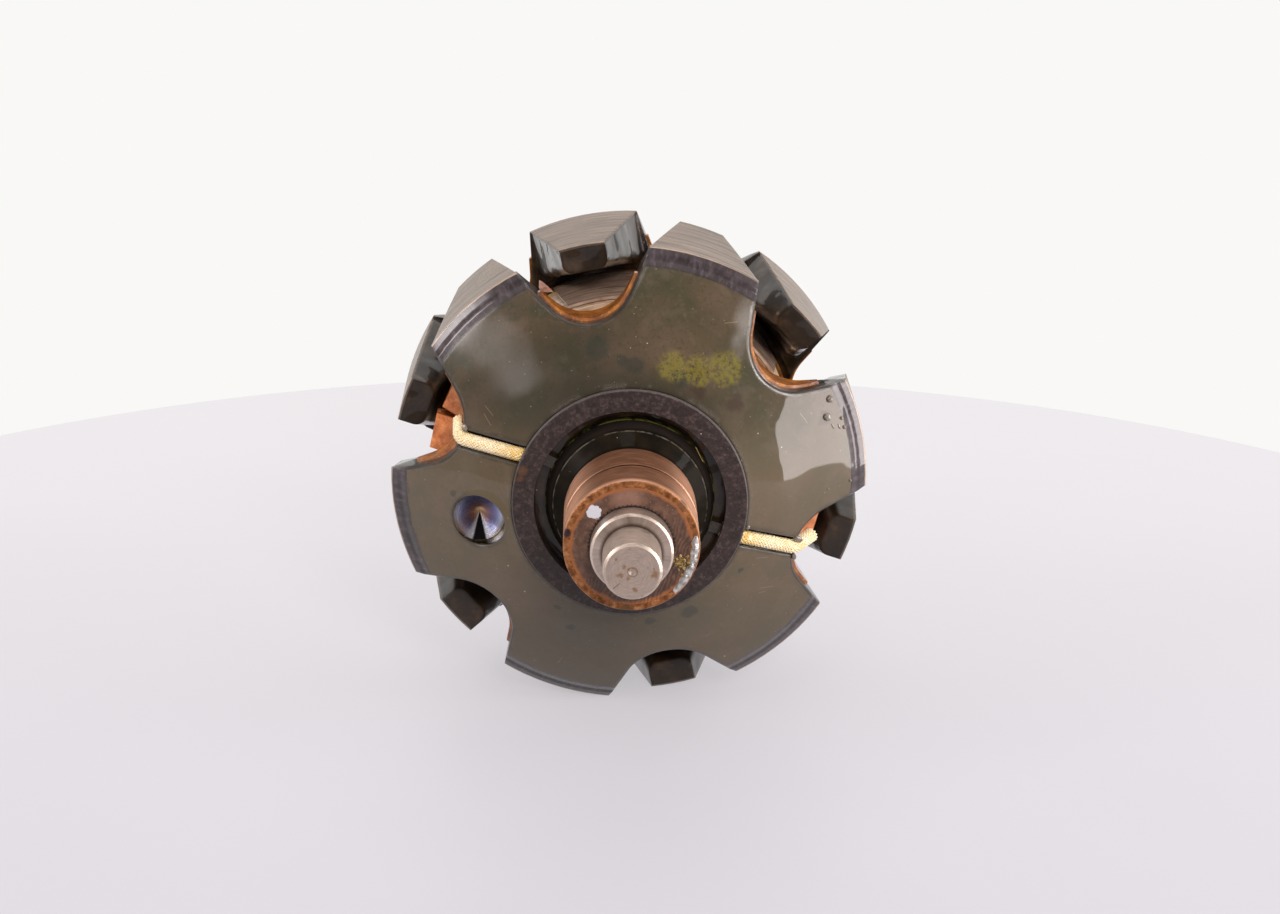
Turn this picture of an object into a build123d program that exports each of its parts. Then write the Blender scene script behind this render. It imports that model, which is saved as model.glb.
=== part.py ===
"""Alternator rotor: a claw-pole field rotor with slip rings, all one pressed assembly.

Every piece is drawn with the shaft axis upright: z = 0 is the middle of the slip-end
journal and +z runs out of the slip-ring end. The finished pieces are laid down so that
the axis runs along row Y, with the slip rings toward -Y and Z up. Lengths are in mm.
"""
import math
import os

from build123d import *

os.makedirs("parts", exist_ok=True)

# Shaft
SHAFT_R = 8.5            # takes a 17 mm bearing and the pulley at the drive end
JOURNAL_R = 6.0          # takes a 12 x 32 x 10 ball bearing
JOURNAL_LEN = 10.0
JOURNAL_CHAMFER = 0.6
STEP_CHAMFER = 0.5
SHAFT_BARE = 4.6         # bare shaft between the journal shoulder and the slip rings
DRIVE_SEAT_LEN = 34.0    # bearing, fan and pulley seat
RELIEF_LEN = 2.0         # grinding relief beside the drive seat, inside the spacer
RELIEF_SINK = 0.4
THREAD_SINK = 0.5        # M16 x 1.5 thread, below the 17 mm seat
THREAD_PITCH = 1.5
THREAD_TURNS = 9
THREAD_DEPTH = 0.85
THREAD_NECK = 2.0
SOCKET_AF = 8.0          # hexagon socket that holds the shaft while the nut is turned
SOCKET_DEPTH = 9.0
CENTRE_R = 0.9
CENTRE_DEPTH = 0.5

# Slip rings on their moulded hub
HUB_WALL = 4.1
SLIP_WALL = 1.4
RING_LEN = 10.4
RING_BEVEL = 0.25
DIVIDER_LEN = 1.0
DIVIDER_SINK = 0.6
HUB_CONE_LEN = 4.4
FLANGE_LIP = 2.3         # the hub flange stands out past the slip rings
FLANGE_FOOT = 1.8        # and its foot past its lip
FLANGE_FOOT_DROP = 3.0
FLANGE_SINK = 1.6        # from the flange's lip down to the pole's hub face
CHANNEL_DEPTH = 3.6      # recess round the flange in the pole

# Retainer ring over the two lead slots
CHANNEL_W = 2.4
RETAINER_W = 4.7
RETAINER_SINK = 0.6
RETAINER_PROUD = 1.0
RETAINER_BEVEL = 0.3

# Core, bobbin and winding
CORE_WALL = 15.5
BOBBIN_GAP = 0.1
BOBBIN_WALL = 1.2
BOBBIN_FLANGE_T = 1.0
COIL_BUILD = 12.1
COIL_SPACE = 35.2        # between the two pole plates

# Insulation
STAR_T = 0.5
PETAL_GAP = 0.1
PETAL_T = 0.6
PETAL_ROOT_HALF = 15.5
PETAL_TIP_HALF = 9.0
PETAL_LEN = 23.5
LINER_T = 0.6            # sheet that lines the hollows between the claws
LINER_SINK = 3.0         # it stays this far below the sloping face
LINER_OUT = 8.4          # and reaches this far out from the bottom of the hollow
FLAP_T = 0.7
FLAP_RISE = 6.4
FLAP_W = 8.0
FLAP_DROP = 2.3          # below the pole plate
FLAP_CLEAR = 0.3         # from the tip of the rear washer's petal

# Claw poles
CLAWS = 6
CLAW_STEP = 360.0 / CLAWS
PHASE = 11.3             # how far the rotor is rolled as it lies
CLAW_CLEAR = 1.6         # between the insulation and the claws
CLAW_ROOT_T = 12.3
CLAW_TIP_T = 5.9
CLAW_TIP_PAST_MID = 12.2
CLAW_ROOT_HALF = 13.66   # half-angle of a claw at its root, degrees
CLAW_TIP_HALF = 5.4
TIP_BEVEL = 0.5
CLAW_ROUND = 2.4         # edges of a claw's underside and tip
CONE_ANGLE = 30.75       # slope of the pole's face, degrees
CHAMFER_W = 3.6
CHAMFER_DROP = 3.6
RIM_BACK = 2.8           # plate left behind the outer end of the slope
SKIRT = 2.0              # claw root carried past the plate's back
SCALLOP_LAP = 0.6        # bottom of the hollow between two claws, past the winding
SCALLOP_BEND = 10.9
EDGE_ROUND = 0.9

# Leads
SLEEVE_R = 1.5
SLEEVE_WALL = 0.75
SLEEVE_GAP = 0.06
SLOT_PLAY = 1.0          # room in the slot, on the upper side of the sleeve
SLOT_SEAT = 0.1          # and under it
SLOT_RISE = 0.9          # the slot is this much shallower at the hollow
WIRE_GAP = 0.05
WIRE_BARE = 1.3          # bare wire beyond the sleeve, into the solder
LEAD_BEND = 3.0
LEAD_SINK = 1.3          # the lead is let this far into the hollow's wall
LEAD_IN = 4.5            # how far the sleeve reaches in under the retainer
SOLDER_W = 2.4
SOLDER_T = 1.4
RIM_SOLDER_W = 12.0
RIM_SOLDER_T = 0.7
RIM_SOLDER_BEVEL = 0.25

# Balance holes
BALANCE_R = 5.75
BALANCE_OUT = 7.8        # centre of the hole, out from the retainer
BALANCE_POINT = 3.45

# Drive end
SPACER_WALL = 5.0
SPACER_LEN = 9.0
SPACER_BEVEL = 0.5

CUT_REACH = 12.0         # how far cutting shapes run past what they cut

# Radii
RELIEF_R = SHAFT_R - RELIEF_SINK
THREAD_R = SHAFT_R - THREAD_SINK
HUB_R = SHAFT_R + HUB_WALL
SLIP_R = HUB_R + SLIP_WALL
FLANGE_R = SLIP_R + FLANGE_LIP
FLANGE_FOOT_R = FLANGE_R + FLANGE_FOOT
RETAINER_BORE_R = FLANGE_FOOT_R + CHANNEL_W
RETAINER_R = RETAINER_BORE_R + RETAINER_W
SPACER_R = SHAFT_R + SPACER_WALL
CORE_R = SHAFT_R + CORE_WALL
BOBBIN_R = CORE_R + BOBBIN_GAP
COIL_BORE_R = BOBBIN_R + BOBBIN_WALL
COIL_R = COIL_BORE_R + COIL_BUILD
PETAL_R = COIL_R + PETAL_GAP
CLAW_ROOT_R = PETAL_R + PETAL_T + CLAW_CLEAR
ROTOR_R = CLAW_ROOT_R + CLAW_ROOT_T
CLAW_TIP_R = ROTOR_R - CLAW_TIP_T
CONE_R = ROTOR_R - CHAMFER_W
SCALLOP_R = COIL_R + SCALLOP_LAP
BALANCE_AT_R = RETAINER_R + BALANCE_OUT
FLAP_LEN = COIL_SPACE - PETAL_LEN - FLAP_DROP - FLAP_CLEAR

# Stations along the axis
CONE_SLOPE = math.tan(math.radians(CONE_ANGLE))
CONE_DROP = (CONE_R - RETAINER_R) * CONE_SLOPE
Z_TIP = JOURNAL_LEN / 2 + JOURNAL_CHAMFER
Z_STEP = -JOURNAL_LEN / 2
Z_SLIP = Z_STEP - SHAFT_BARE
Z_DIVIDER = Z_SLIP - RING_LEN
Z_DIVIDER_BACK = Z_DIVIDER - DIVIDER_LEN
Z_SLIP_BACK = Z_DIVIDER_BACK - RING_LEN
Z_FLANGE = Z_SLIP_BACK - HUB_CONE_LEN
Z_HUB = Z_FLANGE - FLANGE_SINK
Z_RETAINER = Z_HUB + RETAINER_PROUD
Z_SEAT = Z_HUB - RETAINER_SINK
Z_CHANNEL = Z_HUB - CHANNEL_DEPTH
Z_CONE = Z_HUB - CONE_DROP
Z_CORNER = Z_CONE - CHAMFER_DROP
Z_PLATE = Z_CONE - RIM_BACK
Z_MID = Z_PLATE - COIL_SPACE / 2
Z_CLAW_TIP = Z_MID - CLAW_TIP_PAST_MID
Z_HUB_REAR = 2 * Z_MID - Z_HUB
Z_PLATE_REAR = 2 * Z_MID - Z_PLATE
Z_SPACER = Z_HUB_REAR - SPACER_LEN
Z_SEAT_END = Z_SPACER - DRIVE_SEAT_LEN
Z_THREAD = Z_SEAT_END - THREAD_NECK
Z_SHAFT_END = Z_THREAD - THREAD_TURNS * THREAD_PITCH - THREAD_DEPTH
SLOT_DEPTH = 2 * (SLEEVE_R + SLEEVE_GAP) + RETAINER_SINK
Z_SLOT = Z_HUB - SLOT_DEPTH


def cone_z(r):
    """Height of the front pole's sloping face at radius r."""
    return Z_HUB - (r - RETAINER_R) * CONE_SLOPE


def revolved(*points):
    """Solid of revolution about the shaft axis from (radius, height) points."""
    face = make_face(Polyline(*[(r, 0, z) for r, z in points], close=True))
    return revolve(face, Axis.Z)


def ring(r_out, r_in, z_top, z_bottom, bevel=0.0):
    """Plain ring, with its outer corners broken by the bevel."""
    b = bevel
    if b:
        return revolved(
            (r_in, z_top), (r_out - b, z_top), (r_out, z_top - b),
            (r_out, z_bottom + b), (r_out - b, z_bottom), (r_in, z_bottom),
        )
    return revolved((r_in, z_top), (r_out, z_top), (r_out, z_bottom), (r_in, z_bottom))


def rod(r, z_top, z_bottom):
    return Pos(0, 0, z_bottom) * Cylinder(
        r, z_top - z_bottom, align=(Align.CENTER, Align.CENTER, Align.MIN)
    )


def turned(shape, angle):
    return Rot(0, 0, angle) * shape


def laid(shape):
    """Lay a piece down: the axis goes from Z to row Y, slip rings toward -Y."""
    return Rot(90, 0, 0) * shape


def save(shape, name):
    export_step(laid(shape), f"parts/{name}.step")


def scallop(z_top, z_bottom, inset=0.0):
    """U-shaped hollow between two claws, centred on the +x side, drawn in by the inset."""
    bend = SCALLOP_BEND - inset
    gap_half = math.radians(CLAW_STEP / 2 - CLAW_ROOT_HALF)
    corner_x = ROTOR_R * math.cos(gap_half)
    corner_y = ROTOR_R * math.sin(gap_half)
    centre_x = SCALLOP_R + SCALLOP_BEND
    dist = math.hypot(corner_x - centre_x, corner_y)
    aim = math.atan2(corner_y, corner_x - centre_x)
    flare = aim - math.asin(min(1.0, SCALLOP_BEND / dist))
    touch_x = centre_x - bend * math.sin(flare)
    touch_y = bend * math.cos(flare)
    out_x = corner_x + inset * math.sin(flare) + CUT_REACH * math.cos(flare)
    out_y = corner_y - inset * math.cos(flare) + CUT_REACH * math.sin(flare)
    edge = [
        ThreePointArc((touch_x, touch_y), (centre_x - bend, 0), (touch_x, -touch_y)),
        Line((touch_x, -touch_y), (out_x, -out_y)),
        Line((out_x, -out_y), (out_x, out_y)),
        Line((out_x, out_y), (touch_x, touch_y)),
    ]
    face = make_face(Curve(edge))
    return Pos(0, 0, z_bottom) * extrude(face, z_top - z_bottom)


def claw_finger():
    """One tapering claw on the +x side, from inside the plate to its tip."""
    root_w = ROTOR_R * math.sin(math.radians(CLAW_ROOT_HALF))
    tip_w = ROTOR_R * math.sin(math.radians(CLAW_TIP_HALF))
    slope = (root_w - tip_w) / (Z_CORNER - Z_CLAW_TIP)
    top_w = root_w + slope * (Z_PLATE - Z_CORNER)
    outline = make_face(Polyline(
        (0, -top_w, Z_PLATE), (0, -tip_w, Z_CLAW_TIP), (0, tip_w, Z_CLAW_TIP), (0, top_w, Z_PLATE),
        close=True,
    ))
    wedge = extrude(outline, 2 * ROTOR_R, dir=(1, 0, 0))
    z_join = Z_PLATE - SKIRT / 2
    lean = (CLAW_TIP_R - CLAW_ROOT_R) / (Z_PLATE - Z_CLAW_TIP)
    shell = revolved(
        (CLAW_ROOT_R + lean * (Z_PLATE - z_join), z_join), (ROTOR_R, z_join),
        (ROTOR_R, Z_CLAW_TIP + TIP_BEVEL), (ROTOR_R - TIP_BEVEL, Z_CLAW_TIP),
        (CLAW_TIP_R, Z_CLAW_TIP),
    )
    claw = (shell & wedge).solid()
    soft = [e for e in claw.edges() if on_claw_underside(e)]
    return claw.fillet(CLAW_ROUND, soft).solid()


def on_claw_underside(edge):
    """True for the edges round a claw's underside and tip, but not at its root."""
    mid = edge.position_at(0.5)
    at_tip = abs(mid.Z - Z_CLAW_TIP) < TIP_BEVEL / 4
    lean = (CLAW_TIP_R - CLAW_ROOT_R) / (Z_PLATE - Z_CLAW_TIP)
    under = CLAW_ROOT_R + lean * (Z_PLATE - mid.Z)
    along = abs(math.hypot(mid.X, mid.Y) - under) < TIP_BEVEL and abs(mid.Y) > TIP_BEVEL
    return along and (at_tip or mid.Z < Z_PLATE - SKIRT)


def pole_plate():
    """Pole plate without claws: flat hub, sloping face, bevelled rim, flat coil side."""
    return revolved(
        (SHAFT_R, Z_HUB), (RETAINER_R, Z_HUB), (CONE_R, Z_CONE), (ROTOR_R, Z_CORNER),
        (ROTOR_R, Z_PLATE - SKIRT), (CLAW_ROOT_R, Z_PLATE - SKIRT), (CLAW_ROOT_R, Z_PLATE),
        (SHAFT_R, Z_PLATE),
    )


def claw_pole():
    """A pole plate with its scallops cut and its claws joined on, on the front side."""
    plate = pole_plate()
    cut = scallop(Z_HUB + CUT_REACH, Z_PLATE - CUT_REACH)
    for k in range(CLAWS):
        plate -= turned(cut, PHASE + CLAW_STEP * (k + 0.5))
    rim = [e for e in plate.edges() if on_scallop_rim(e)]
    plate = fillet(rim, EDGE_ROUND)
    finger = claw_finger()
    for k in range(CLAWS):
        plate = (plate + turned(finger, PHASE + CLAW_STEP * k)).solid()
    return plate


def on_scallop_rim(edge):
    """True for the edges where a scallop wall meets the sloping face."""
    mid = edge.position_at(0.5)
    r = math.hypot(mid.X, mid.Y)
    angle = math.degrees(math.atan2(mid.Y, mid.X)) - PHASE
    off = abs((angle % CLAW_STEP) - CLAW_STEP / 2)
    near_face = abs(mid.Z - cone_z(r)) < EDGE_ROUND / 4
    inside_rim = SCALLOP_R - EDGE_ROUND < r < CONE_R - EDGE_ROUND / 4
    return inside_rim and off < CLAW_STEP / 2 - EDGE_ROUND and near_face


def balance_hole(angle):
    """Flat-sided drill hole with a drill point, parallel to the shaft."""
    z_rim = cone_z(BALANCE_AT_R) - BALANCE_POINT
    z_top = Z_HUB + CUT_REACH
    hole = revolved(
        (0, z_top), (BALANCE_R, z_top), (BALANCE_R, z_rim), (0, z_rim - BALANCE_POINT),
    )
    return turned(Pos(BALANCE_AT_R, 0, 0) * hole, angle)


def polar(r, angle):
    """Point at a radius and an angle, measured from the first claw's middle."""
    a = math.radians(PHASE + angle)
    return Vector(r * math.cos(a), r * math.sin(a), 0)


class Lead:
    """One field lead, by its angles at the retainer, at the hollow and at its end."""

    def __init__(self, name, angle_in, angle_out, angle_end, end_out, tail):
        self.name = name
        self.inner = polar(RETAINER_R, angle_in)
        seat_r = SCALLOP_R + SLEEVE_R - LEAD_SINK
        self.outer = polar(seat_r, angle_out)
        self.end = polar(seat_r + end_out, angle_end)
        self.tail = tail
        self.dir = (self.outer - self.inner).normalized()
        self.slope = CONE_SLOPE - SLOT_RISE / (self.outer - self.inner).length
        self.up = math.copysign(1, self.dir.X)

    def slot(self, overrun=0.0):
        """Channel that follows the sloping face from the hub recess to the hollow."""
        start = self.inner - self.dir * (RETAINER_W + CHANNEL_W / 2)
        end = self.outer + self.dir * (SLEEVE_R + overrun)
        run = (end - start).length
        flat = (self.inner - start).length
        z_top = Z_HUB + CUT_REACH
        side = make_face(Polyline(
            (0, 0, Z_SLOT), (flat, 0, Z_SLOT), (run, 0, Z_SLOT - (run - flat) * self.slope),
            (run, 0, z_top), (0, 0, z_top), close=True,
        ))
        bar = extrude(side, SLEEVE_R + SLOT_PLAY, dir=(0, self.up, 0))
        bar += extrude(side, SLEEVE_R + SLOT_SEAT, dir=(0, -self.up, 0))
        angle = math.degrees(math.atan2(self.dir.Y, self.dir.X))
        return Pos(start.X, start.Y, 0) * Rot(0, 0, angle) * bar

    def path(self, bare=0.0):
        """Centre line of the sleeve: hub recess, slot, then down into the hollow."""
        lift = SLEEVE_R + SLEEVE_GAP
        run = (self.outer - self.inner).length
        slant = math.sqrt(1 + self.slope ** 2)
        z_out = Z_SLOT + lift * slant - run * self.slope
        bend = self.inner + self.dir * (lift * (slant - 1) / self.slope)
        start = self.inner - self.dir * (LEAD_IN + bare)
        return [
            Vector(start.X, start.Y, Z_SLOT + lift),
            Vector(bend.X, bend.Y, Z_SLOT + lift),
            Vector(self.outer.X, self.outer.Y, z_out),
            Vector(self.end.X, self.end.Y, z_out - self.tail),
        ]

    def sweep(self, r_out, r_in, bare=0.0):
        points = self.path(bare)
        line = FilletPolyline(*points, radius=LEAD_BEND)
        at = Plane(origin=points[0], z_dir=(points[1] - points[0]).normalized())
        section = at * Circle(r_out)
        if r_in:
            section -= at * Circle(r_in)
        return sweep(section, path=line)

    def wire(self):
        return self.sweep(SLEEVE_R - SLEEVE_WALL - WIRE_GAP, 0, WIRE_BARE)


LEFT = Lead("left", 145.06, 150.9, 147.4, 1.0, 5.0)
RIGHT = Lead("right", -30.82, -31.8, -27.8, 3.6, 4.0)


def build_shaft():
    body = revolved(
        (0, Z_TIP), (JOURNAL_R - JOURNAL_CHAMFER, Z_TIP), (JOURNAL_R, Z_TIP - JOURNAL_CHAMFER),
        (JOURNAL_R, Z_STEP), (SHAFT_R - STEP_CHAMFER, Z_STEP), (SHAFT_R, Z_STEP - STEP_CHAMFER),
        (SHAFT_R, Z_SPACER + RELIEF_LEN), (RELIEF_R, Z_SPACER + RELIEF_LEN), (RELIEF_R, Z_SPACER),
        (SHAFT_R, Z_SPACER), (SHAFT_R, Z_SEAT_END), (THREAD_R - THREAD_DEPTH, Z_SEAT_END),
        (THREAD_R - THREAD_DEPTH, Z_THREAD), (THREAD_R, Z_THREAD),
        (THREAD_R, Z_SHAFT_END + THREAD_DEPTH), (THREAD_R - THREAD_DEPTH, Z_SHAFT_END),
        (0, Z_SHAFT_END),
    )
    for k in range(THREAD_TURNS):
        z = Z_THREAD - (k + 0.5) * THREAD_PITCH
        body -= revolved(
            (THREAD_R, z + THREAD_PITCH / 2), (THREAD_R - THREAD_DEPTH, z),
            (THREAD_R, z - THREAD_PITCH / 2), (THREAD_R + THREAD_DEPTH, z),
        )
    hexagon = RegularPolygon(SOCKET_AF / 2, 6, major_radius=False)
    body -= Pos(0, 0, Z_SHAFT_END) * extrude(hexagon, SOCKET_DEPTH)
    body -= revolved((0, Z_TIP), (CENTRE_R, Z_TIP), (0, Z_TIP - CENTRE_DEPTH))
    return body.solid()


def build_hub():
    """Moulded core that carries both slip rings, with the web that parts them."""
    web_r = SLIP_R - DIVIDER_SINK
    return revolved(
        (SHAFT_R, Z_SLIP), (HUB_R, Z_SLIP), (HUB_R, Z_DIVIDER), (web_r, Z_DIVIDER),
        (web_r, Z_DIVIDER_BACK), (HUB_R, Z_DIVIDER_BACK), (HUB_R, Z_SLIP_BACK),
        (SHAFT_R, Z_SLIP_BACK),
    )


def build_hub_flange():
    """Black end of the slip-ring moulding, stepped down into the pole's recess."""
    neck = SLIP_R - RING_BEVEL
    waist = Z_SLIP_BACK - HUB_CONE_LEN / 2
    foot_z = Z_FLANGE - FLANGE_FOOT_DROP
    return revolved(
        (SHAFT_R, Z_SLIP_BACK), (neck, Z_SLIP_BACK), (neck, waist), (FLANGE_R, Z_FLANGE),
        (FLANGE_R + RING_BEVEL, Z_FLANGE - RING_BEVEL), (FLANGE_FOOT_R - RING_BEVEL, foot_z),
        (FLANGE_FOOT_R, foot_z - RING_BEVEL), (FLANGE_FOOT_R, Z_CHANNEL), (SHAFT_R, Z_CHANNEL),
    )


def build_front_pole():
    pole = claw_pole()
    pole -= rod(RETAINER_R, Z_HUB + CUT_REACH, Z_SEAT)
    pole -= rod(RETAINER_BORE_R, Z_HUB, Z_CHANNEL)
    for lead in (LEFT, RIGHT):
        pole -= lead.slot()
        pole -= lead.sweep(SLEEVE_R + SLEEVE_GAP, 0)
    return (pole - balance_hole(PHASE + 3 * CLAW_STEP - 1.5)).solid()


def build_rear_pole():
    """The rear pole is the front one's twin, turned by half a claw step."""
    pole = claw_pole()
    pole = (pole - balance_hole(PHASE + CLAW_STEP)).solid()
    return turned(mirror(pole, about=Plane.XY.offset(Z_MID)), CLAW_STEP / 2)


def build_bobbin():
    z_top = Z_PLATE - STAR_T
    z_bottom = Z_PLATE_REAR + STAR_T
    return revolved(
        (BOBBIN_R, z_top), (COIL_R, z_top), (COIL_R, z_top - BOBBIN_FLANGE_T),
        (COIL_BORE_R, z_top - BOBBIN_FLANGE_T), (COIL_BORE_R, z_bottom + BOBBIN_FLANGE_T),
        (COIL_R, z_bottom + BOBBIN_FLANGE_T), (COIL_R, z_bottom), (BOBBIN_R, z_bottom),
    )


def build_winding():
    z_top = Z_PLATE - STAR_T - BOBBIN_FLANGE_T
    z_bottom = Z_PLATE_REAR + STAR_T + BOBBIN_FLANGE_T
    return ring(COIL_R, COIL_BORE_R, z_top, z_bottom)


def build_liner():
    """Sheet that lines the bottom of one hollow, below the pole's sloping face."""
    z_top = Z_HUB - LINER_SINK
    sheet = scallop(z_top, Z_PLATE - STAR_T) - scallop(z_top, Z_PLATE - STAR_T, LINER_T)
    r_out = SCALLOP_R + LINER_OUT
    under_face = revolved(
        (SHAFT_R, Z_PLATE - STAR_T), (SHAFT_R, cone_z(SHAFT_R) - LINER_SINK),
        (r_out, cone_z(r_out) - LINER_SINK), (r_out, Z_PLATE - STAR_T),
    )
    return (sheet & under_face).solid()


def build_star():
    """Insulating washer, front side: a petal under each claw, a liner in each hollow."""
    star = ring(PETAL_R + PETAL_T, BOBBIN_R, Z_PLATE, Z_PLATE - STAR_T)
    root_w = PETAL_R * math.sin(math.radians(PETAL_ROOT_HALF))
    tip_w = PETAL_R * math.sin(math.radians(PETAL_TIP_HALF))
    z_tip = Z_PLATE - PETAL_LEN
    outline = make_face(Polyline(
        (0, -root_w, Z_PLATE), (0, -tip_w, z_tip), (0, tip_w, z_tip), (0, root_w, Z_PLATE),
        close=True,
    ))
    wedge = extrude(outline, 2 * ROTOR_R, dir=(1, 0, 0))
    petal = ring(PETAL_R + PETAL_T, PETAL_R, Z_PLATE, z_tip) & wedge
    liner = build_liner()
    for k in range(CLAWS):
        star += turned(petal, PHASE + CLAW_STEP * k)
        star += turned(liner, PHASE + CLAW_STEP * (k + 0.5))
    return star.solid()


def build_front_star():
    star = build_star()
    for lead in (LEFT, RIGHT):
        star -= lead.slot(CUT_REACH)
        star -= lead.sweep(SLEEVE_R + SLEEVE_GAP, 0)
    return star.solid()


def build_flap(angle, rise):
    """Folded tab of insulation that bulges out of a lead gap over the winding."""
    t = FLAP_T
    fold = (FLAP_LEN - t) / 3
    z0 = Z_PLATE - FLAP_DROP
    z1, z2, z3 = z0 - fold, z0 - 2 * fold, z0 - 3 * fold
    face = make_face(Polyline(
        (PETAL_R, 0, z0 - t), (PETAL_R + rise - t, 0, z1), (PETAL_R + rise - t, 0, z2),
        (PETAL_R, 0, z3), (PETAL_R, 0, z3 - t), (PETAL_R + rise, 0, z2 - t / 2),
        (PETAL_R + rise, 0, z1 + t / 2), (PETAL_R, 0, z0), close=True,
    ))
    tab = extrude(face, FLAP_W / 2, dir=(0, 1, 0), both=True)
    tab -= rod(PETAL_R, z0 + CUT_REACH, z3 - CUT_REACH)
    return turned(tab, angle)


def build_solder(lead):
    """Solder on the terminal where a lead's wire ends, on the hub flange's foot."""
    end = lead.path()[0]
    foot = Vector(end.X, end.Y, 0)
    reach = foot.length - FLANGE_FOOT_R
    bar = Box(reach, SOLDER_W, SOLDER_T, align=(Align.MIN, Align.CENTER, Align.CENTER))
    angle = math.degrees(math.atan2(foot.Y, foot.X))
    blob = turned(Pos(FLANGE_FOOT_R, 0, end.Z) * bar, angle)
    blob -= lead.sweep(SLEEVE_R + SLEEVE_GAP, 0)
    blob -= lead.wire()
    return (blob - rod(FLANGE_FOOT_R, Z_HUB, Z_CHANNEL)).solid()


def build_rim_solder(angle):
    """Solder that joins the outer slip ring to its lead bar, at the hub's face."""
    z_top = Z_SLIP + RIM_SOLDER_T
    blob = ring(SLIP_R - RING_BEVEL, HUB_R - SLIP_WALL, z_top, Z_SLIP, RIM_SOLDER_BEVEL)
    keep = Pos(SLIP_R, 0, Z_SLIP) * Box(2 * SLIP_R, RIM_SOLDER_W, 2 * CUT_REACH)
    return (blob & turned(keep, angle)).solid()


front_pole = build_front_pole()
rear_pole = build_rear_pole()
front_star = build_front_star()
rear_star = turned(mirror(build_star(), about=Plane.XY.offset(Z_MID)), CLAW_STEP / 2)

save(build_shaft(), "shaft")
save(front_pole, "claw_pole_front")
save(rear_pole, "claw_pole_rear")
save(ring(CORE_R, SHAFT_R, Z_PLATE, Z_PLATE_REAR), "pole_core")
save(build_bobbin(), "coil_bobbin")
save(build_winding(), "field_winding")
save(front_star, "insulation_star_front")
save(rear_star, "insulation_star_rear")
save(build_flap(PHASE + 156.0, FLAP_RISE), "insulation_flap_left_lower")
save(build_flap(PHASE + 143.2, FLAP_RISE - FLAP_T), "insulation_flap_left_upper")
save(build_flap(PHASE - 27.5, FLAP_RISE - FLAP_T), "insulation_flap_right")
save(build_hub(), "slip_ring_hub")
save(ring(SLIP_R, HUB_R, Z_SLIP, Z_DIVIDER, RING_BEVEL), "slip_ring_outer")
save(ring(SLIP_R, HUB_R, Z_DIVIDER_BACK, Z_SLIP_BACK, RING_BEVEL), "slip_ring_inner")
save(build_hub_flange(), "hub_flange")
save(ring(RETAINER_R, RETAINER_BORE_R, Z_RETAINER, Z_SEAT, RETAINER_BEVEL), "retainer_ring")
save(ring(SPACER_R, SHAFT_R, Z_HUB_REAR, Z_SPACER, SPACER_BEVEL), "drive_spacer")
save(build_rim_solder(-20.0), "solder_outer_ring")
for item in (LEFT, RIGHT):
    save(item.sweep(SLEEVE_R, SLEEVE_R - SLEEVE_WALL), f"lead_sleeve_{item.name}")
    save(item.wire(), f"lead_wire_{item.name}")
    save(build_solder(item), f"solder_{item.name}")
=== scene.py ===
import math

import bmesh
import bpy
from mathutils import Matrix, Vector, noise


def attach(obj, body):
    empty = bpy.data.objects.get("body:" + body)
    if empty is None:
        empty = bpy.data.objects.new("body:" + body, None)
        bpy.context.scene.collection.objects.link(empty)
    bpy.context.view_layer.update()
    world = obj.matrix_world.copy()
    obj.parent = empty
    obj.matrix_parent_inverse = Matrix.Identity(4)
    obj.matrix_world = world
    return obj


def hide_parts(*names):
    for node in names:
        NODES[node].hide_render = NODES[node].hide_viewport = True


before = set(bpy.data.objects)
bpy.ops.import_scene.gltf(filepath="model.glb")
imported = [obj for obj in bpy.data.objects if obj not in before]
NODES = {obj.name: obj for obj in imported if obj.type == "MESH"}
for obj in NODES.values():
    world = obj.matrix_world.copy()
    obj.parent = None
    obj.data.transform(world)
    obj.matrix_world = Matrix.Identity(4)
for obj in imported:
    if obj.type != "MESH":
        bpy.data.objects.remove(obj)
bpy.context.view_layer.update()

scene = bpy.context.scene
MM = 0.001

# The rotor as built, in mm: radii, and stations along the shaft from the slip-ring end
ROTOR_R = 52.0
CONE_R = 48.4
COIL_R = 37.4
HOLE_AT_R, HOLE_R = 33.0, 5.8
CORE_R = 25.4
RETAINER_R = 25.2
SLIP_R = 14.0
HUB_R = 12.6
SHAFT_R = 8.5
TIP_Y = -5.6
HUB_FACE_Y = 9.6
GROOVE_Y = HUB_FACE_Y + 10.9
RETAINER_Y = 36.5
POLE_FACE_Y = 37.4
PLATE_Y = 54.0
COIL_Y = PLATE_Y + 1.5
MID_Y = 71.6
SPACER_END_Y = 114.72
THREAD_Y = 149.0
PHASE = 11.3

# The poles' sloping face: its rise, its station drawn on to the axis, and the bevel beyond it
CONE_SLOPE = math.tan(math.radians(30.75))
CONE_AXIS_Y = POLE_FACE_Y - RETAINER_R * CONE_SLOPE
CONE_END_Y = POLE_FACE_Y + (CONE_R - RETAINER_R) * CONE_SLOPE
# Where the slope rounds off toward the bevel, and how fast
KNEE_R, KNEE = 41.0, 0.0067

AXIAL = Vector((0.0, 1.0, 0.0))
# Factors that leave out the station, and the middle of a range from 0 to 1
ACROSS = (1.0, 0.0, 1.0)
HALF = (0.5, 0.5, 0.5)


def tone(r, g, b):
    """Linear colour from the 0-255 values a paint chart gives."""
    def lin(c):
        c /= 255
        return c / 12.92 if c <= 0.04045 else ((c + 0.055) / 1.055) ** 2.4
    return (lin(r), lin(g), lin(b), 1.0)


def at(r, angle, y):
    """Point in mm at a radius and an angle in degrees round the shaft."""
    a = math.radians(angle)
    return Vector((r * math.cos(a), y, r * math.sin(a)))


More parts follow.
